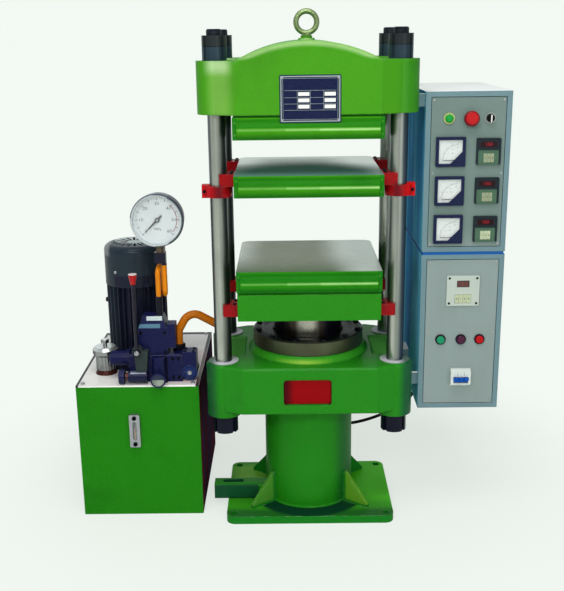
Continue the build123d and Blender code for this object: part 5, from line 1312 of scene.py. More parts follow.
GAUGE_CHROME = Finish(
    "gauge_chrome", Paint((206, 213, 216), 0.2, 0.9), Surface.PLATED,
    patches=(
        # Painted shade on the gauge's right side and on the right and the top of its rim.
        Patch(Paint((60, 68, 74), 0.3, 0.4), y=(-0.08, 0.2), facing=RIGHT),
        Patch(Paint((44, 54, 62), 0.3, 0.2), x=(-0.430, -0.3), ring=front_ring(GAUGE, (0.0722, 0.09)),
              soft=0.0015, share=0.9),
        Patch(Paint((44, 54, 62), 0.3, 0.2), x=(-0.392, -0.3), ring=front_ring(GAUGE, (0.0692, 0.09)),
              soft=0.0020, share=0.9),
        Patch(Paint((56, 64, 80), 0.3, 0.2), z=(0.908, 1.0), ring=front_ring(GAUGE, (0.0726, 0.09)),
              soft=0.0015, share=0.9),
        Patch(Paint((216, 224, 224), 0.5), y=(-0.0865, -0.0855), facing=FRONT),
    ),
)
SIPHON = Finish(
    "siphon_yellow", Paint((226, 132, 10), 0.3, 0.2), Surface.PLATED, gloss=0.2,
    patches=(
        Patch(Paint((26, 27, 44), 0.4, 0.1), z=(0.764, 0.9)),
        Patch(Paint((104, 90, 74), 0.4, 0.3), z=(0.802, 0.9)),
    ),
)
PIPE_ORANGE = Finish("pipe_orange", Paint((190, 104, 6), 0.3), Surface.ENAMEL, coat=0.12)
BOX_POWDER = Finish(
    "box_powder", Paint((110, 138, 144), 0.5), Surface.POWDER, edge=0.001, grain=(1.0, 5.0, 0.25), gloss=0.03,
    patches=(
        # Left sides: streaked bright blue, partly the boxes' own blue and partly painted reflection. Right
        # sides: painted shade. Tops: painted highlight, nearly white.
        Patch(Paint((56, 144, 206), 0.8), facing=LEFT, streak=(110, 200, 235)),
        Patch(Paint((58, 104, 130), 0.8), facing=RIGHT, streak=(66, 114, 140)),
        Patch(Paint((246, 250, 248), 0.5), facing=UP),
        Patch(Paint((38, 104, 172), 0.4), z=(0.799, 0.8078)),
    ),
)
PANEL_POWDER = Finish(
    "panel_powder", Paint((140, 155, 152), 0.45), Surface.POWDER, grain=(1.0, 1.0, 0.3),
    above=(112, 132, 126), heights=(0.75, 0.9),
)
AMMETER = Finish(
    "ammeter_case", Paint((28, 36, 66), 0.32), Surface.MOULDED, edge=0.0006,
    patches=(Patch(Paint((224, 230, 226), 0.5), y=(-0.1265, -0.1255), facing=FRONT),),
)
CONTROLLER = Finish(
    "controller_case", Paint((34, 44, 50), 0.34), Surface.MOULDED, edge=0.0006,
    patches=tuple(
        Patch(Paint((76, 106, 86), 0.42), y=(-0.1315, -0.123), x=(0.4605, 0.5155), z=(z - 0.0365, z + 0.0035))
        for z in METER_HEIGHTS
    ),
)
TIMER = Finish("timer_case", Paint((186, 196, 186), 0.42), Surface.MOULDED, edge=0.0006)
BEZEL = Finish(
    "bezel_alloy", Paint((150, 158, 152), 0.3, 0.7), Surface.TURNED, turned=((0, 0, 0), 1),
    patches=(
        Patch(Paint((44, 36, 46), 0.35, 0.2), z=(0.53, 0.57)),
        Patch(Paint((176, 190, 116), 0.35, 0.3), x=(0.36, 0.40), z=(1.15, 1.2)),
        Patch(Paint((190, 182, 96), 0.35, 0.3), x=(0.42, 0.455), z=(1.15, 1.2)),
    ),
)
LAMP = Finish("lamp_green", Paint((20, 150, 54), 0.15), Surface.MOULDED, coat=0.4)
SIGNAL_RED = Finish(
    "signal_red", Paint((184, 4, 10), 0.25), Surface.MOULDED, coat=0.2,
    patches=(
        # Painted shade round the rim of the emergency stop.
        Patch(Paint((116, 2, 14), 0.3), z=(1.1, 1.3), ring=front_ring(ESTOP, (0.0155, 0.05)), soft=0.004),
    ),
)
BLACK_PLASTIC = Finish("black_plastic", Paint((20, 20, 24), 0.35), Surface.MOULDED)
GREEN_PLASTIC = Finish("green_plastic", Paint((22, 140, 96), 0.28), Surface.MOULDED, coat=0.2)
DARK_PLASTIC = Finish("dark_plastic", Paint((74, 30, 56), 0.3), Surface.MOULDED, coat=0.2)
BREAKER = Finish("breaker_white", Paint((218, 226, 220), 0.4), Surface.MOULDED, edge=0.0006)
TOGGLE = Finish("toggle_blue", Paint((12, 82, 176), 0.32), Surface.MOULDED)
CABLE = Finish("cable_black", Paint((18, 18, 20), 0.55), Surface.RUBBER)
DIGIT_RED = Finish("digit_red", Paint((176, 36, 44), 0.4), Surface.MOULDED)
DIGIT_BROWN = Finish("digit_brown", Paint((150, 70, 50), 0.4), Surface.MOULDED)
WINDOW_DARK = Finish(
    "window_dark", Paint((40, 18, 22), 0.2), Surface.MOULDED,
    patches=(Patch(Paint((84, 66, 64), 0.3), z=(0.6, 0.8)),),
)
WHEEL_CREAM = Finish(
    "wheel_cream", Paint((186, 196, 162), 0.45), Surface.MOULDED,
    patches=(Patch(Paint((150, 160, 130), 0.45), z=(0.9, 1.3)),),
)
DIAL_RED = Finish("dial_red", Paint((136, 44, 56), 0.5), Surface.MOULDED)
LABEL_SILVER = Finish("label_silver", Paint((176, 190, 188), 0.3, 0.7), Surface.GROUND, grain=(0.1, 1.0, 1.0))
NAMEPLATE = Finish("nameplate_navy", Paint((22, 30, 66), 0.3, 0.2), Surface.ENAMEL, coat=0.2)
LEVEL_BACK = Finish("level_back", Paint((44, 48, 50), 0.5), Surface.MOULDED)
LEVEL_OIL = Finish("level_oil", Paint((128, 92, 30), 0.2), Surface.MOULDED, gloss=0.5)


def corners(middle: Point, across: float, up: float) -> list[Point]:
    """Four points of a front face, the same distances from its middle."""
    x, y, z = middle
    return [(x + sx * across, y, z + sz * up) for sx in (-1, 1) for sz in (-1, 1)]


def tile(name: str, size: Point, place: Point, finish: Finish, slot: str, corner: float = 0.0,
         bevel: float = 0.0, body: str = "frame") -> None:
    """Lays a small plate on a face that looks forward.

    Args:
        name: The piece's name.
        size: Its width, height and thickness.
        place: The middle of its back.
        finish: Its finish.
        slot: Not used; it is only handed to Shape.piece, which does not use it.
        corner: Radius of its corners.
        bevel: Width of the bevel round its front.
        body: The CAD body that it rides on.
    """
    Shape().block(*size, Axis.FRONT.at(place), corner, bevel).piece(name, finish, slot, body)


@dataclass
class Studio:
    """The pale floor, the soft light and the camera of the photograph."""

    pale: Colour = (243, 249, 243)
    room: Colour = (236, 240, 240)
    mirror: Colour = (236, 244, 244)
    viewpoint: Point = (-0.0577, -2.6604, 1.3992)
    yaw: float = 0.007
    pitch: float = 0.274
    roll: float = -0.013
    focal_pixels: float = 932.07
    photo_width: float = 564.0
    sensor_width: float = 36.0
    target: Point = (-0.05, 0.0, 0.7)
    lamps: tuple[tuple[str, Point, Span, float], ...] = (
        ("key", (-0.6, -3.3, 2.5), (2.8, 0.5), 50.0),
        ("fill", (1.7, -3.0, 1.2), (1.6, 1.6), 15.0),
        ("top", (-0.2, -1.3, 3.3), (2.0, 1.6), 44.0),
    )

    def build(self) -> None:
        """Makes the camera, then the floor and the lights."""
        self.camera()
        self.floor()
        self.surround()
        self.lights()

    def camera(self) -> None:
        """Sets the camera where the photograph was taken from."""
        level = math.cos(self.pitch)
        ahead = Vector((-math.sin(self.yaw) * level, math.cos(self.yaw) * level, -math.sin(self.pitch)))
        right = Vector((math.cos(self.yaw), math.sin(self.yaw), 0.0))
        up = right.cross(ahead)
        upright, lean = math.cos(self.roll), math.sin(self.roll)
        axes = (upright * right + lean * up, upright * up - lean * right, -ahead)
        data = bpy.data.cameras.new("camera")
        data.sensor_fit = "HORIZONTAL"
        data.sensor_width = self.sensor_width
        data.lens = self.focal_pixels / self.photo_width * self.sensor_width
        data.clip_end = 60.0
        camera = linked("camera", data)
        camera.matrix_world = Matrix.Translation(self.viewpoint) @ Matrix(axes).transposed().to_4x4()
        bpy.context.scene.camera = camera

    def floor(self) -> None:
        """Lays a pale floor that fades into a background of the same colour."""
        disc = Shape().turned([(14.0, -0.002), (0.0, -0.0005)], Matrix.Identity(4), 64)
        floor = linked("floor", disc.data("floor"))
        shader = MaterialShader("floor_pale")
        pale = linear(self.pale)
        shader.set("Base Color", pale)
        shader.set("Roughness", 0.9)
        glow = shader.node("ShaderNodeEmission", {}, {"Color": pale, "Strength": 1.0}).outputs[0]
        away = shader.radius((-0.05, 0.1, 0.0), 2).rise(0.5, 1.3) * 0.3 + 0.7
        shown = shader.seen("Camera", "Glossy", "Transmission") * away
        mixed = shader.layered(shown, shader.principled.outputs[0], glow)
        shader.feed(shader.output.inputs["Surface"], mixed)
        floor.data.materials.append(shader.material)

    def surround(self) -> None:
        """Surrounds the object with soft light, which polished metal sees dim behind the camera."""
        world = bpy.data.worlds.new("studio")
        bpy.context.scene.world = world
        shader = Shader(world)
        output = shader.node("ShaderNodeOutputWorld", {}, {})
        behind = shader.part_of(shader.coordinates.outputs["Generated"], 1).rise(-0.75, 0.3) * 0.8 + 0.12
        lit = []
        for colour, strength in ((self.room, 0.36), (self.mirror, behind), (self.pale, 1.0)):
            values = {"Color": linear(colour), "Strength": strength}
            lit.append(shader.node("ShaderNodeBackground", {}, values).outputs[0])
        room, mirror, back = lit
        polished = shader.layered(shader.seen("Glossy"), room, mirror)
        mixed = shader.layered(shader.seen("Camera", "Transmission"), polished, back)
        shader.feed(output.inputs["Surface"], mixed)

    def lights(self) -> None:
        """Sets soft lamps round the camera."""
        for name, place, (wide, high), power in self.lamps:
            lamp = bpy.data.lights.new(name, "AREA")
            lamp.shape = "RECTANGLE"
            lamp.size = wide
            lamp.size_y = high
            lamp.energy = power
            aim = (Vector(self.target) - Vector(place)).to_track_quat("-Z", "Y")
            linked(name, lamp).matrix_world = Matrix.Translation(place) @ aim.to_matrix().to_4x4()
        bpy.context.scene.view_settings.view_transform = "Standard"


@dataclass
class Cable:
    """The supply cable that hangs between the motor and the lower control box."""

    diameter: float = 0.010
    length: float = 1.349
    points: tuple[Point, ...] = (
        (-0.522, 0.216, 0.558), (-0.522, 0.216, 0.492), (-0.5123, 0.2618, 0.4401), (-0.4877, 0.3401, 0.4357),
        (-0.4516, 0.4184, 0.4198), (-0.3979, 0.4562, 0.3459), (-0.3178, 0.4404, 0.2658),
        (-0.2202, 0.3823, 0.2122), (-0.1146, 0.3119, 0.1796), (-0.0002, 0.2442, 0.1541),
        (0.1151, 0.2037, 0.1444), (0.2216, 0.1878, 0.1761), (0.3078, 0.1896, 0.2218),
        (0.358, 0.202, 0.262), (0.358, 0.202, 0.323),
    )

    def build(self) -> None:
        line, spline = line_through("supply_cable", self.points, "NURBS")
        line.bevel_depth = self.diameter / 2
        line.bevel_resolution = 4
        line.resolution_u = 8
        line.use_fill_caps = True
        spline.order_u = 3
        spline.use_endpoint_u = True
        line.materials.append(CABLE.material())
        cable = linked("supply_cable", line)
        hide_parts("cable")
        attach(cable, "frame")
        log.info("supply_cable on frame")


@dataclass
class PressFrame:
    """Foot, cylinder, lower beam, crown, columns and what is fixed to them."""

    plate_width: float = 0.160
    plate_height: float = 0.122
    plate_middle: Point = (0.005, -0.208, 1.236)
    panel_middle: Point = (-0.006, -0.199, 0.424)
    gland_screw_circle: float = 0.1505
    gland_top: float = 0.558
    thread_pitch: float = 0.003
    thread_radius: float = 0.0196
    thread_steps: int = 24
    weld_radius: float = 0.1318
    collar_ear: Span = (0.0375, 0.011)

    def build(self) -> None:
        """Dresses the castings and adds the plates, screws, threads and welds."""
        dress(FOOT_ENAMEL, "base_plate")
        dress(PRESS_ENAMEL, "cylinder_barrel")
        dress(CAST_ENAMEL, "lower_beam", "crown_beam")
        dress(GROUND_COLUMN, "columns")
        dress(BLACK_NUT, "column_nuts")
        dress(EYE_STEEL, "eyebolt")
        dress(GLAND_STEEL, "gland_cap")
        dress(RED_ENAMEL, "column_collars")
        self.nameplate()
        self.pocket_panel()
        self.gland_screws()
        self.threads()
        self.welds()
        self.collar_bolts()

    def nameplate(self) -> None:
        """Screws a dark plate with blank fields to the crown."""
        wide, high = self.plate_width, self.plate_height
        tile("nameplate", (wide, high, 0.0010), self.plate_middle, NAMEPLATE, "valve_navy", 0.004, 0.0003)
        x, back, z = self.plate_middle
        face = back - 0.001
        lines = Shape()
        for inset, rim in ((0.003, 0.0026), (0.0085, 0.0008)):
            lines.border(wide - 2 * inset, high - 2 * inset, rim, PRINT, Axis.FRONT.at((x, face, z)))
        for rise in (0.0215, 0.0035, -0.0125, -0.0285):
            lines.block(wide * 0.84, 0.0007, PRINT, Axis.FRONT.at((x, face, z + rise)))
        for shift in (-0.034, 0.000, 0.034):
            lines.block(0.0007, 0.050, PRINT, Axis.FRONT.at((x + shift, face, z - 0.0035)))
        lines.piece("nameplate_lines", LABEL_SILVER, "gauge_chrome")
        fields = Shape()
        for row in range(3):
            for shift in (-0.017, 0.051):
                place = (x + shift, face, z + 0.0125 - 0.016 * row)
                fields.block(0.029, 0.0095, PRINT, Axis.FRONT.at(place), 0.0008)
        fields.piece("nameplate_fields", WHITE_PRINT, "meter_white")
        rivets = [Axis.FRONT.at(place) for place in corners((x, face, z), 0.0725, 0.0535)]
        Screws("nameplate_rivets", Head.RIVET, 0.0024, 0.0015, rivets, SATIN_STEEL, "gauge_chrome").build()

    def pocket_panel(self) -> None:
        """Lets a red panel into the pocket of the lower beam."""
        tile("beam_panel", (0.132, 0.072, 0.0022), self.panel_middle, PANEL_RED, "guide_red", 0.010, 0.0012)

    def gland_screws(self) -> None:
        """Rings the gland with socket screws."""
        places = []
        for turn in range(15, 375, 30):
            places.append(Axis.TOP.at((*polar(self.gland_screw_circle, turn), self.gland_top), turn))
        Screws("gland_screws", Head.SOCKET, 0.0085, 0.0055, places, DARK_SCREW, "gland_steel").build()

    def threads(self) -> None:
        """Cuts the thread on the column ends that stand above the nuts."""
        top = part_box("columns")[1][2]
        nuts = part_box("column_nuts")[1][2]
        turns = int((top - nuts - 0.005) / self.thread_pitch)
        if turns < 2:
            return
        for index, (cx, cy) in enumerate(COLUMNS, 1):
            path = []
            for step in range(turns * self.thread_steps):
                px, py = polar(self.thread_radius, 360 * step / self.thread_steps)
                rise = self.thread_pitch * step / self.thread_steps
                path.append((cx + px, cy + py, nuts + 0.001 + rise))
            Bead(f"thread_{index}", path, 0.0011, False, 0.0, 0.004).build(BLACK_NUT, "nut_black")

    def welds(self) -> None:
        """Runs weld beads round the barrel's foot and under the lower beam."""
        for name, height, radius in (("foot_weld", 0.0262, 0.0046), ("beam_weld", 0.3592, 0.0036)):
            path = [(*polar(self.weld_radius, turn), height) for turn in range(0, 360, 5)]
            Bead(name, path, radius, True).build(PRESS_ENAMEL, "press_green")

    def collar_bolts(self) -> None:
        """Clamps each split collar with a socket screw across its ears."""
        low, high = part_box("column_collars")
        middle = (low[2] + high[2]) / 2
        out, half = self.collar_ear
        places = []
        for cx, cy in COLUMNS:
            ear = cx + math.copysign(out, cx)
            places.append(Axis.FRONT.at((ear, cy - half, middle)))
            places.append(Axis.BACK.at((ear, cy + half, middle)))
        Screws("collar_screws", Head.SOCKET, 0.0048, 0.0036, places, DARK_SCREW, "nut_black").build()


@dataclass
class PlateStack:
    """Ram, table, heated plates, covers and guides."""

    cover_screw_span: float = 0.386
    cover_face: float = -0.205
    cover_screw_rise: float = 0.016
    guide_middle: float = 0.2075
    guide_screw_shift: float = 0.020
    cover_bodies: tuple[tuple[str, str], ...] = (
        ("lower_cover", "ram_table"), ("middle_cover", "middle_plate"), ("upper_cover", "frame"),
    )
    guide_bodies: tuple[tuple[str, str], ...] = (
        ("middle_guides", "middle_plate"), ("table_guides", "ram_table"),
    )

    def build(self) -> None:
        """Dresses the moving and the fixed plates and adds their screws."""
        dress(RAM_CHROME, "ram")
        dress(PRESS_ENAMEL, "moving_table")
        dress(COVER_ENAMEL, "lower_cover", "middle_cover", "upper_cover")
        dress(LOWER_PLATE, "lower_heating_plate")
        dress(MIDDLE_PLATE, "middle_heating_plate")
        dress(UPPER_PLATE, "upper_heating_plate")
        dress(BOARD, "lower_board", "upper_board")
        dress(RED_ENAMEL, "middle_guides", "table_guides")
        self.cover_screws()
        self.guide_screws()

    def cover_screws(self) -> None:
        """Puts two small screws in the margin at each end of each cover."""
        for node, body in self.cover_bodies:
            low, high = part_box(node)
            middle = (0.0, self.cover_face, (low[2] + high[2]) / 2)
            places = [
                Axis.FRONT.at(place, math.copysign(35, place[0]))
                for place in corners(middle, self.cover_screw_span / 2, self.cover_screw_rise)
            ]
            name = node + "_screws"
            Screws(name, Head.PAN, 0.0028, 0.0014, places, PRESS_ENAMEL, "press_green", body).build()

    def guide_screws(self) -> None:
        """Puts two hexagon screws in the top of each guide fork."""
        for node, body in self.guide_bodies:
            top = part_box(node)[1][2]
            places = []
            for cx, cy in COLUMNS:
                for shift in (-self.guide_screw_shift, self.guide_screw_shift):
                    places.append(Axis.TOP.at((math.copysign(self.guide_middle, cx), cy + shift, top)))
            name = node + "_screws"
            Screws(name, Head.HEXAGON, 0.0048, 0.004, places, DARK_SCREW, "nut_black", body).build()


@dataclass
class OilUnit:
    """Oil tank, filler, motor and pump."""

    level: Point = (-0.514, -0.129, 0.277)
    level_screw_rise: float = 0.041
    motor: Span = (-0.522, 0.100)
    fan_screw_radius: float = 0.0918
    fan_screw_height: float = 0.722
    motor_radius: float = 0.0895
    bolt_heights: Span = (0.618, 0.470)
    lid_top: float = 0.416

    def build(self) -> None:
        """Dresses the tank and the motor and adds their small parts."""
        dress(TANK_ENAMEL, "tank_shell")
        dress(LID_ENAMEL, "tank_lid")
        dress(CHROME, "filler_cap")
        dress(COPPER, "filler_neck")
        dress(MOTOR_SLATE, "motor_housing")
        dress(FAN_SLATE, "fan_cover")
        dress(ROTOR, "motor_rotor")
        dress(PUMP, "oil_pump")
        dress(SATIN_STEEL, "level_gauge")
        self.level_glass()
        self.motor_screws()
        self.lid_bolts()

    def level_glass(self) -> None:
        """Fits the oil level gauge with its back, oil, scale, pane and two screws."""
        x, y, z = self.level
        tile("level_back", (0.0112, 0.0565, 0.0008), (x, y + 0.0039, z), LEVEL_BACK, "level_glass", 0.0055)
        oil = (x, y + 0.0031, z - 0.009)
        tile("level_oil", (0.0040, 0.034, 0.0014), oil, LEVEL_OIL, "level_glass", 0.0019)
        marks = Shape()
        for step in range(9):
            width = 0.0042 if step % 4 == 0 else 0.0026
            place = (x + 0.0030, y + 0.0030, z - 0.022 + 0.0055 * step)
            marks.block(width, 0.0007, PRINT, Axis.FRONT.at(place))
        marks.piece("level_marks", WHITE_PRINT, "meter_white")
        tile("level_pane", (0.0112, 0.0565, 0.0010), (x, y + 0.0012, z), CLEAR, "level_glass", 0.0055)
        ends = (z - self.level_screw_rise, z + self.level_screw_rise)
        places = [Axis.FRONT.at((x, y, height), 20) for height in ends]
        Screws("level_screws", Head.SOCKET, 0.0065, 0.0030, places, DARK_SCREW, "nut_black").build()

    def motor_screws(self) -> None:
        """Fixes the fan cover and adds the clamp bolts of the motor."""
        mx, my = self.motor
        places = []
        for turn in range(58, 418, 90):
            out = Vector((*polar(1.0, turn), 0.0))
            across = Vector((-out.y, out.x, 0.0))
            basis = Matrix((across, Vector((0.0, 0.0, 1.0)), out)).transposed().to_4x4()
            px, py = polar(self.fan_screw_radius, turn)
            places.append(Matrix.Translation((mx + px, my + py, self.fan_screw_height)) @ basis)
        Screws("fan_cover_screws", Head.PAN, 0.0048, 0.0026, places, SATIN_STEEL, "motor_slate").build()
        bolts = [Axis.LEFT.at((mx - self.motor_radius, my, height)) for height in self.bolt_heights]
        Screws("motor_bolts", Head.HEXAGON, 0.0075, 0.0075, bolts, DARK_SCREW, "motor_slate").build()

    def lid_bolts(self) -> None:
        """Bolts the lid down along its front and its back edge."""
        places = []
        for x in (-0.664, -0.502, -0.340):
            for y in (-0.098, 0.367):
                places.append(Axis.TOP.at((x, y, self.lid_top), 17 * len(places)))
        Screws("lid_bolts", Head.HEXAGON, 0.0062, 0.0042, places, SATIN_STEEL, "lid_cream").build()


@dataclass
class Valves:
    """Valve manifold, its hand controls and the pressure pipe."""

    cap_slope: float = 19.36
    cap_middle: Point = (-0.4475, -0.0728, 0.6068)
    pin: Point = (-0.497, -0.1213, 0.5163)
    pipe_foot: Point = (-0.384, -0.030, 0.5001)
    coil_end: Point = (-0.583, -0.051, 0.480)

    def build(self) -> None:
        """Dresses the valves and adds their screws, unions and plate."""
        dress(VALVE_NAVY, "manifold_block", "solenoid_valve")
        dress(RELIEF_NAVY, "relief_valve")
        dress(KNOB, "relief_handwheel", "throttle_knob")
        dress(GREY_CASTING, "hand_valve")
        dress(LEVER, "valve_lever")
        dress(PIPE_ORANGE, "pressure_pipe")
        self.cap_plate()
        self.screws()
        self.unions()

    def cap_plate(self) -> None:
        """Lays a bare silver plate on the sloping front of the solenoid's cap."""
        at = Axis.FRONT.at(self.cap_middle) @ Matrix.Rotation(math.radians(-self.cap_slope), 4, "X")
        plate = Shape().block(0.046, 0.0125, 0.0008, at, 0.0015, 0.0003)
        plate.piece("cap_plate", LABEL_SILVER, "gauge_chrome")

    def screws(self) -> None:
        """Puts socket screws in the faces of the valve bodies, and the nuts of the cock and the lever."""
        places = [Axis.FRONT.at((x, -0.085, z), 12) for x in (-0.398, -0.381) for z in (0.430, 0.487)]
        places += [Axis.FRONT.at((x, -0.083, z), 12) for x in (-0.488, -0.418) for z in (0.507, 0.566)]
        Screws("valve_screws", Head.SOCKET, 0.0046, 0.0030, places, DARK_SCREW, "nut_black").build()
        block = [Axis.TOP.at((x, y, 0.505), 12) for x in (-0.362, -0.338) for y in (-0.072, -0.046)]
        Screws("cock_block_screws", Head.SOCKET, 0.0040, 0.0030, block, DARK_SCREW, "nut_black").build()
        square = [Axis.FRONT.at(COCK, 15)]
        Screws("cock_square", Head.HEXAGON, 0.0062, 0.0050, square, SATIN_STEEL, "gauge_chrome").build()
        pin = [Axis.FRONT.at(self.pin)]
        Screws("lever_nut", Head.HEXAGON, 0.0062, 0.0038, pin, SATIN_STEEL, "lever_steel", "lever").build()

    def unions(self) -> None:
        """Adds the union nut under the pressure pipe and the nut on the coil's end."""
        ring = [(0.0122, 0.0), (0.0178, 0.0), (0.0190, 0.0015)]
        ring += [(0.0190, 0.0150), (0.0178, 0.0165), (0.0122, 0.0165)]
        nut = Shape().turned(ring, Axis.TOP.at(self.pipe_foot), 6, True)
        nut.piece("pipe_union", DARK_SCREW, "nut_black")
        cap = [(0.0125, 0.0), (0.0125, 0.005), (0.0110, 0.0062), (0.0, 0.0062)]
        Shape().turned(cap, Axis.LEFT.at(self.coil_end), 12).piece("coil_nut", KNOB, "knob_dark")


@dataclass
class PressureGauge:
    """Pressure gauge with its dial, glass and siphon."""

    reach: float = 0.0600
    figure_reach: float = 0.0460
    start: float = 225
    sweep: float = -270
    glass_back: float = -0.0975

    def build(self) -> None:
        """Dresses the gauge, prints its dial and glazes it."""
        dress(GAUGE_CHROME, "gauge_case")
        dress(NEEDLE, "gauge_needle")
        dress(SIPHON, "gauge_siphon")
        at = Axis.FRONT.at(GAUGE)
        for name, radius, stroke, count in (
            ("gauge_fine_marks", self.reach, (0.0040, 0.0006, PRINT), 61),
            ("gauge_main_marks", self.reach - 0.0015, (0.0075, 0.0018, PRINT), 13),
        ):
            Scale(name, at, radius, stroke, self.start, self.sweep, count).build(NEEDLE, "needle_black")
        figures = [
            (str(step * 10), polar(self.figure_reach, self.start + self.sweep * step / 6), 0.0135)
            for step in range(7)
        ]
        figures.append(("MPa", (0.0, -0.0270), 0.0120))
        lettering("gauge_figures", figures, at, NEEDLE)
        Shape().arc(0.0545, 0.0020, 0.0004, (-40, 50), at).piece("gauge_red_arc", DIAL_RED, "guide_red")
        pane = [(0.0684, 0.0), (0.0684, 0.0012), (0.0640, 0.0017), (0.0, 0.0020)]
        before = Axis.FRONT.at((GAUGE[0], self.glass_back, GAUGE[2]))
        Shape().turned(pane, before).piece("gauge_glass", CLEAR, "level_glass")


@dataclass
class Thumbwheels:
    """A row of thumbwheels with a digit on each."""

    name: str
    digits: str
    first: Point
    pitch: float
    size: Point
    bevel: float
    figure: float

    def build(self) -> None:
        """Sets the wheels side by side and prints their digits."""
        x, y, z = self.first
        wheels = Shape()
        figures = []
        for step, digit in enumerate(self.digits):
            wheels.block(*self.size, Axis.FRONT.at((x + self.pitch * step, y, z)), 0.001, self.bevel)
            figures.append((digit, (self.pitch * step, 0.0), self.figure))
        wheels.piece(self.name + "_wheels", WHEEL_CREAM, "timer_white")
        face = Axis.FRONT.at((x, y - self.size[2], z))
        lettering(self.name + "_setting", figures, face, BLACK_LINE)


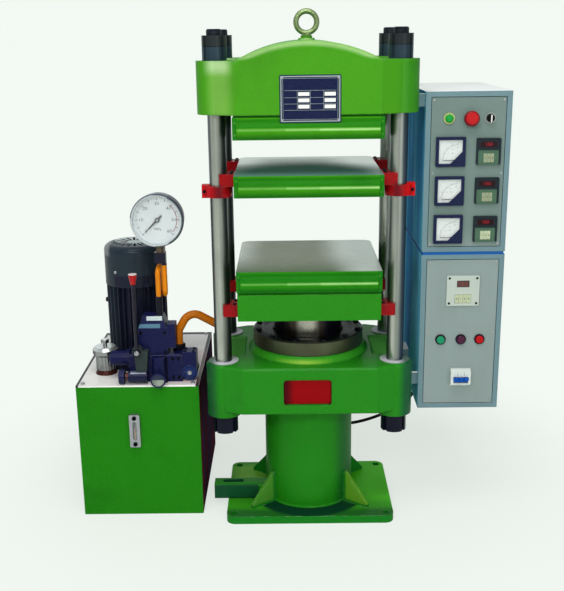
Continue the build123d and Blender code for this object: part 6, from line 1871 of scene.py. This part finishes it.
@dataclass
class Cabinet:
    """Control boxes with their instruments."""

    middle: float = 0.4315
    face: float = -0.124
    panel_width: float = 0.203
    panels: tuple[Span, ...] = ((0.355, 0.786), (0.8215, 1.2315))
    meter_x: float = 0.3855
    meter_face: float = -0.126
    pivot_x: float = 0.4087
    pivot_drop: float = 0.0232
    dial_start: float = 92
    dial_sweep: float = 86
    controller_x: float = 0.488
    controller_face: float = -0.129
    display_rise: float = 0.0190
    timer_middle: Point = (0.4345, -0.1265, 0.695)
    breaker_middle: Point = (0.436, -0.142, 0.4505)
    selector_front: Point = (0.489, -0.1430, 1.1745)

    def build(self) -> None:
        """Dresses the boxes, the meters and the controls and adds what is printed and let in."""
        dress(BOX_POWDER, "lower_box", "upper_box")
        dress(PANEL_POWDER, "box_panels")
        dress(AMMETER, "ammeters")
        dress(NEEDLE, "ammeter_needle_1", "ammeter_needle_2", "ammeter_needle_3")
        dress(CONTROLLER, "controllers")
        dress(TIMER, "timer")
        dress(BEZEL, "control_bezels")
        dress(LAMP, "pilot_lamp")
        dress(SIGNAL_RED, "estop_button", "stop_button")
        dress(BLACK_PLASTIC, "selector_knob")
        dress(GREEN_PLASTIC, "raise_button")
        dress(DARK_PLASTIC, "lower_button")
        dress(BREAKER, "breaker")
        dress(TOGGLE, "breaker_toggle")
        self.panel_edges()
        for index, height in enumerate(METER_HEIGHTS, 1):
            self.meter(index, height)
            self.controller(index, height)
        self.timer()
        self.pointer()
        self.breaker_lines()

    def panel_edges(self) -> None:
        """Runs a dark seal round each panel and screws it down."""
        seal = Shape()
        screws = []
        for low, high in self.panels:
            middle = (low + high) / 2
            at = Axis.FRONT.at((self.middle, self.face, middle))
            seal.border(self.panel_width, high - low, 0.0016, 0.0004, at)
            for side in (-1, 1):
                for end in (low + 0.009, middle, high - 0.009):
                    place = (self.middle + side * (self.panel_width / 2 - 0.008), self.face, end)
                    screws.append(Axis.FRONT.at(place, 25 + 40 * len(screws)))
        seal.piece("panel_seal", BLACK_LINE, "selector_black")
        Screws("panel_screws", Head.PAN, 0.0034, 0.0018, screws, SATIN_STEEL, "bezel_grey").build()

    def meter(self, index: int, height: float) -> None:
        """Prints one ammeter's dial and glazes it.

        Args:
            index: Which meter, from the top.
            height: The meter's middle.
        """
        name = f"meter_{index}"
        at = Axis.FRONT.at((self.pivot_x, self.meter_face, height - self.pivot_drop))
        start, sweep = self.dial_start, self.dial_sweep
        for kind, radius, stroke, count in (
            ("marks", 0.0445, (0.0040, 0.0007, PRINT), 21),
            ("steps", 0.0455, (0.0062, 0.0011, PRINT), 5),
        ):
            Scale(f"{name}_{kind}", at, radius, stroke, start, sweep, count).build(DIAL_GREY, "needle_black")
        arc = Shape().arc(0.0425, 0.0006, PRINT, (start, start + sweep), at)
        arc.piece(name + "_arc", DIAL_GREY, "needle_black")
        figures = [(str(10 * step), polar(0.0345, 172 - 25 * step), 0.0055) for step in range(4)]
        figures.append(("A", (-0.018, 0.020), 0.0085))
        lettering(name + "_figures", figures, at, DIAL_GREY)
        tile(name + "_pane", (0.0636, 0.0636, 0.0010), (self.meter_x, -0.1300, height), CLEAR, "level_glass")

    def controller(self, index: int, height: float) -> None:
        """Lights one controller's figures and fits its thumbwheels.

        Args:
            index: Which controller, from the top.
            height: The controller's middle.
        """
        name = f"controller_{index}"
        x, y, z = self.controller_x, self.controller_face, height + self.display_rise
        tile(name + "_window", (0.044, 0.015, 0.0006), (x, y, z), WINDOW_DARK, "controller_dark", 0.001)
        lit = Axis.FRONT.at((x, y - 0.0006, z))
        lettering(name + "_figures", [("150", (0.0, 0.0), 0.0130)], lit, DIGIT_RED)
        first = (0.4795, y, height - 0.0175)
        Thumbwheels(name, "150", first, 0.0095, (0.0088, 0.0240, 0.0014), 0.0005, 0.0082).build()

    def timer(self) -> None:
        """Fits the timer's window, figures, thumbwheels and screws."""
        x, y, z = self.timer_middle
        window = (x, y, z + 0.020)
        tile("timer_window", (0.0352, 0.0192, 0.0006), window, WINDOW_DARK, "controller_dark", 0.001)
        lit = Axis.FRONT.at((x, y - 0.0006, z + 0.020))
        lettering("timer_figures", [("12.5", (0.0, 0.0), 0.0145)], lit, DIGIT_BROWN)
        first = (0.4178, y, z - 0.023)
        Thumbwheels("timer", "0125", first, 0.0112, (0.0104, 0.0240, 0.0022), 0.0006, 0.0095).build()
        places = [
            Axis.FRONT.at(place, 30 + 50 * index)
            for index, place in enumerate(corners((x, -0.128, z), 0.0385, 0.0365))
        ]
        Screws("timer_screws", Head.PAN, 0.0034, 0.0014, places, DARK_SCREW, "nut_black").build()

    def pointer(self) -> None:
        """Lays a white pointer on the selector's grip."""
        tile("selector_pointer", (0.0032, 0.0200, 0.0005), self.selector_front, WHITE_PRINT, "meter_white",
             0.0012, body="selector")

    def breaker_lines(self) -> None:
        """Parts the breaker's body into its three poles."""
        x, y, z = self.breaker_middle
        lines = Shape()
        for shift in (-0.0095, 0.0095):
            lines.block(0.0007, 0.0095, PRINT, Axis.FRONT.at((x + shift, y, z)))
        lines.piece("breaker_joints", BLACK_LINE, "controller_dark")


def main() -> None:
    """Builds the studio and every sub-assembly."""
    logging.basicConfig(level=logging.INFO, format="%(name)s: %(message)s")
    Studio().build()
    Cable().build()
    for assembly in (PressFrame(), PlateStack(), OilUnit(), Valves(), PressureGauge(), Cabinet()):
        assembly.build()


if __name__ == "__main__":
    main()
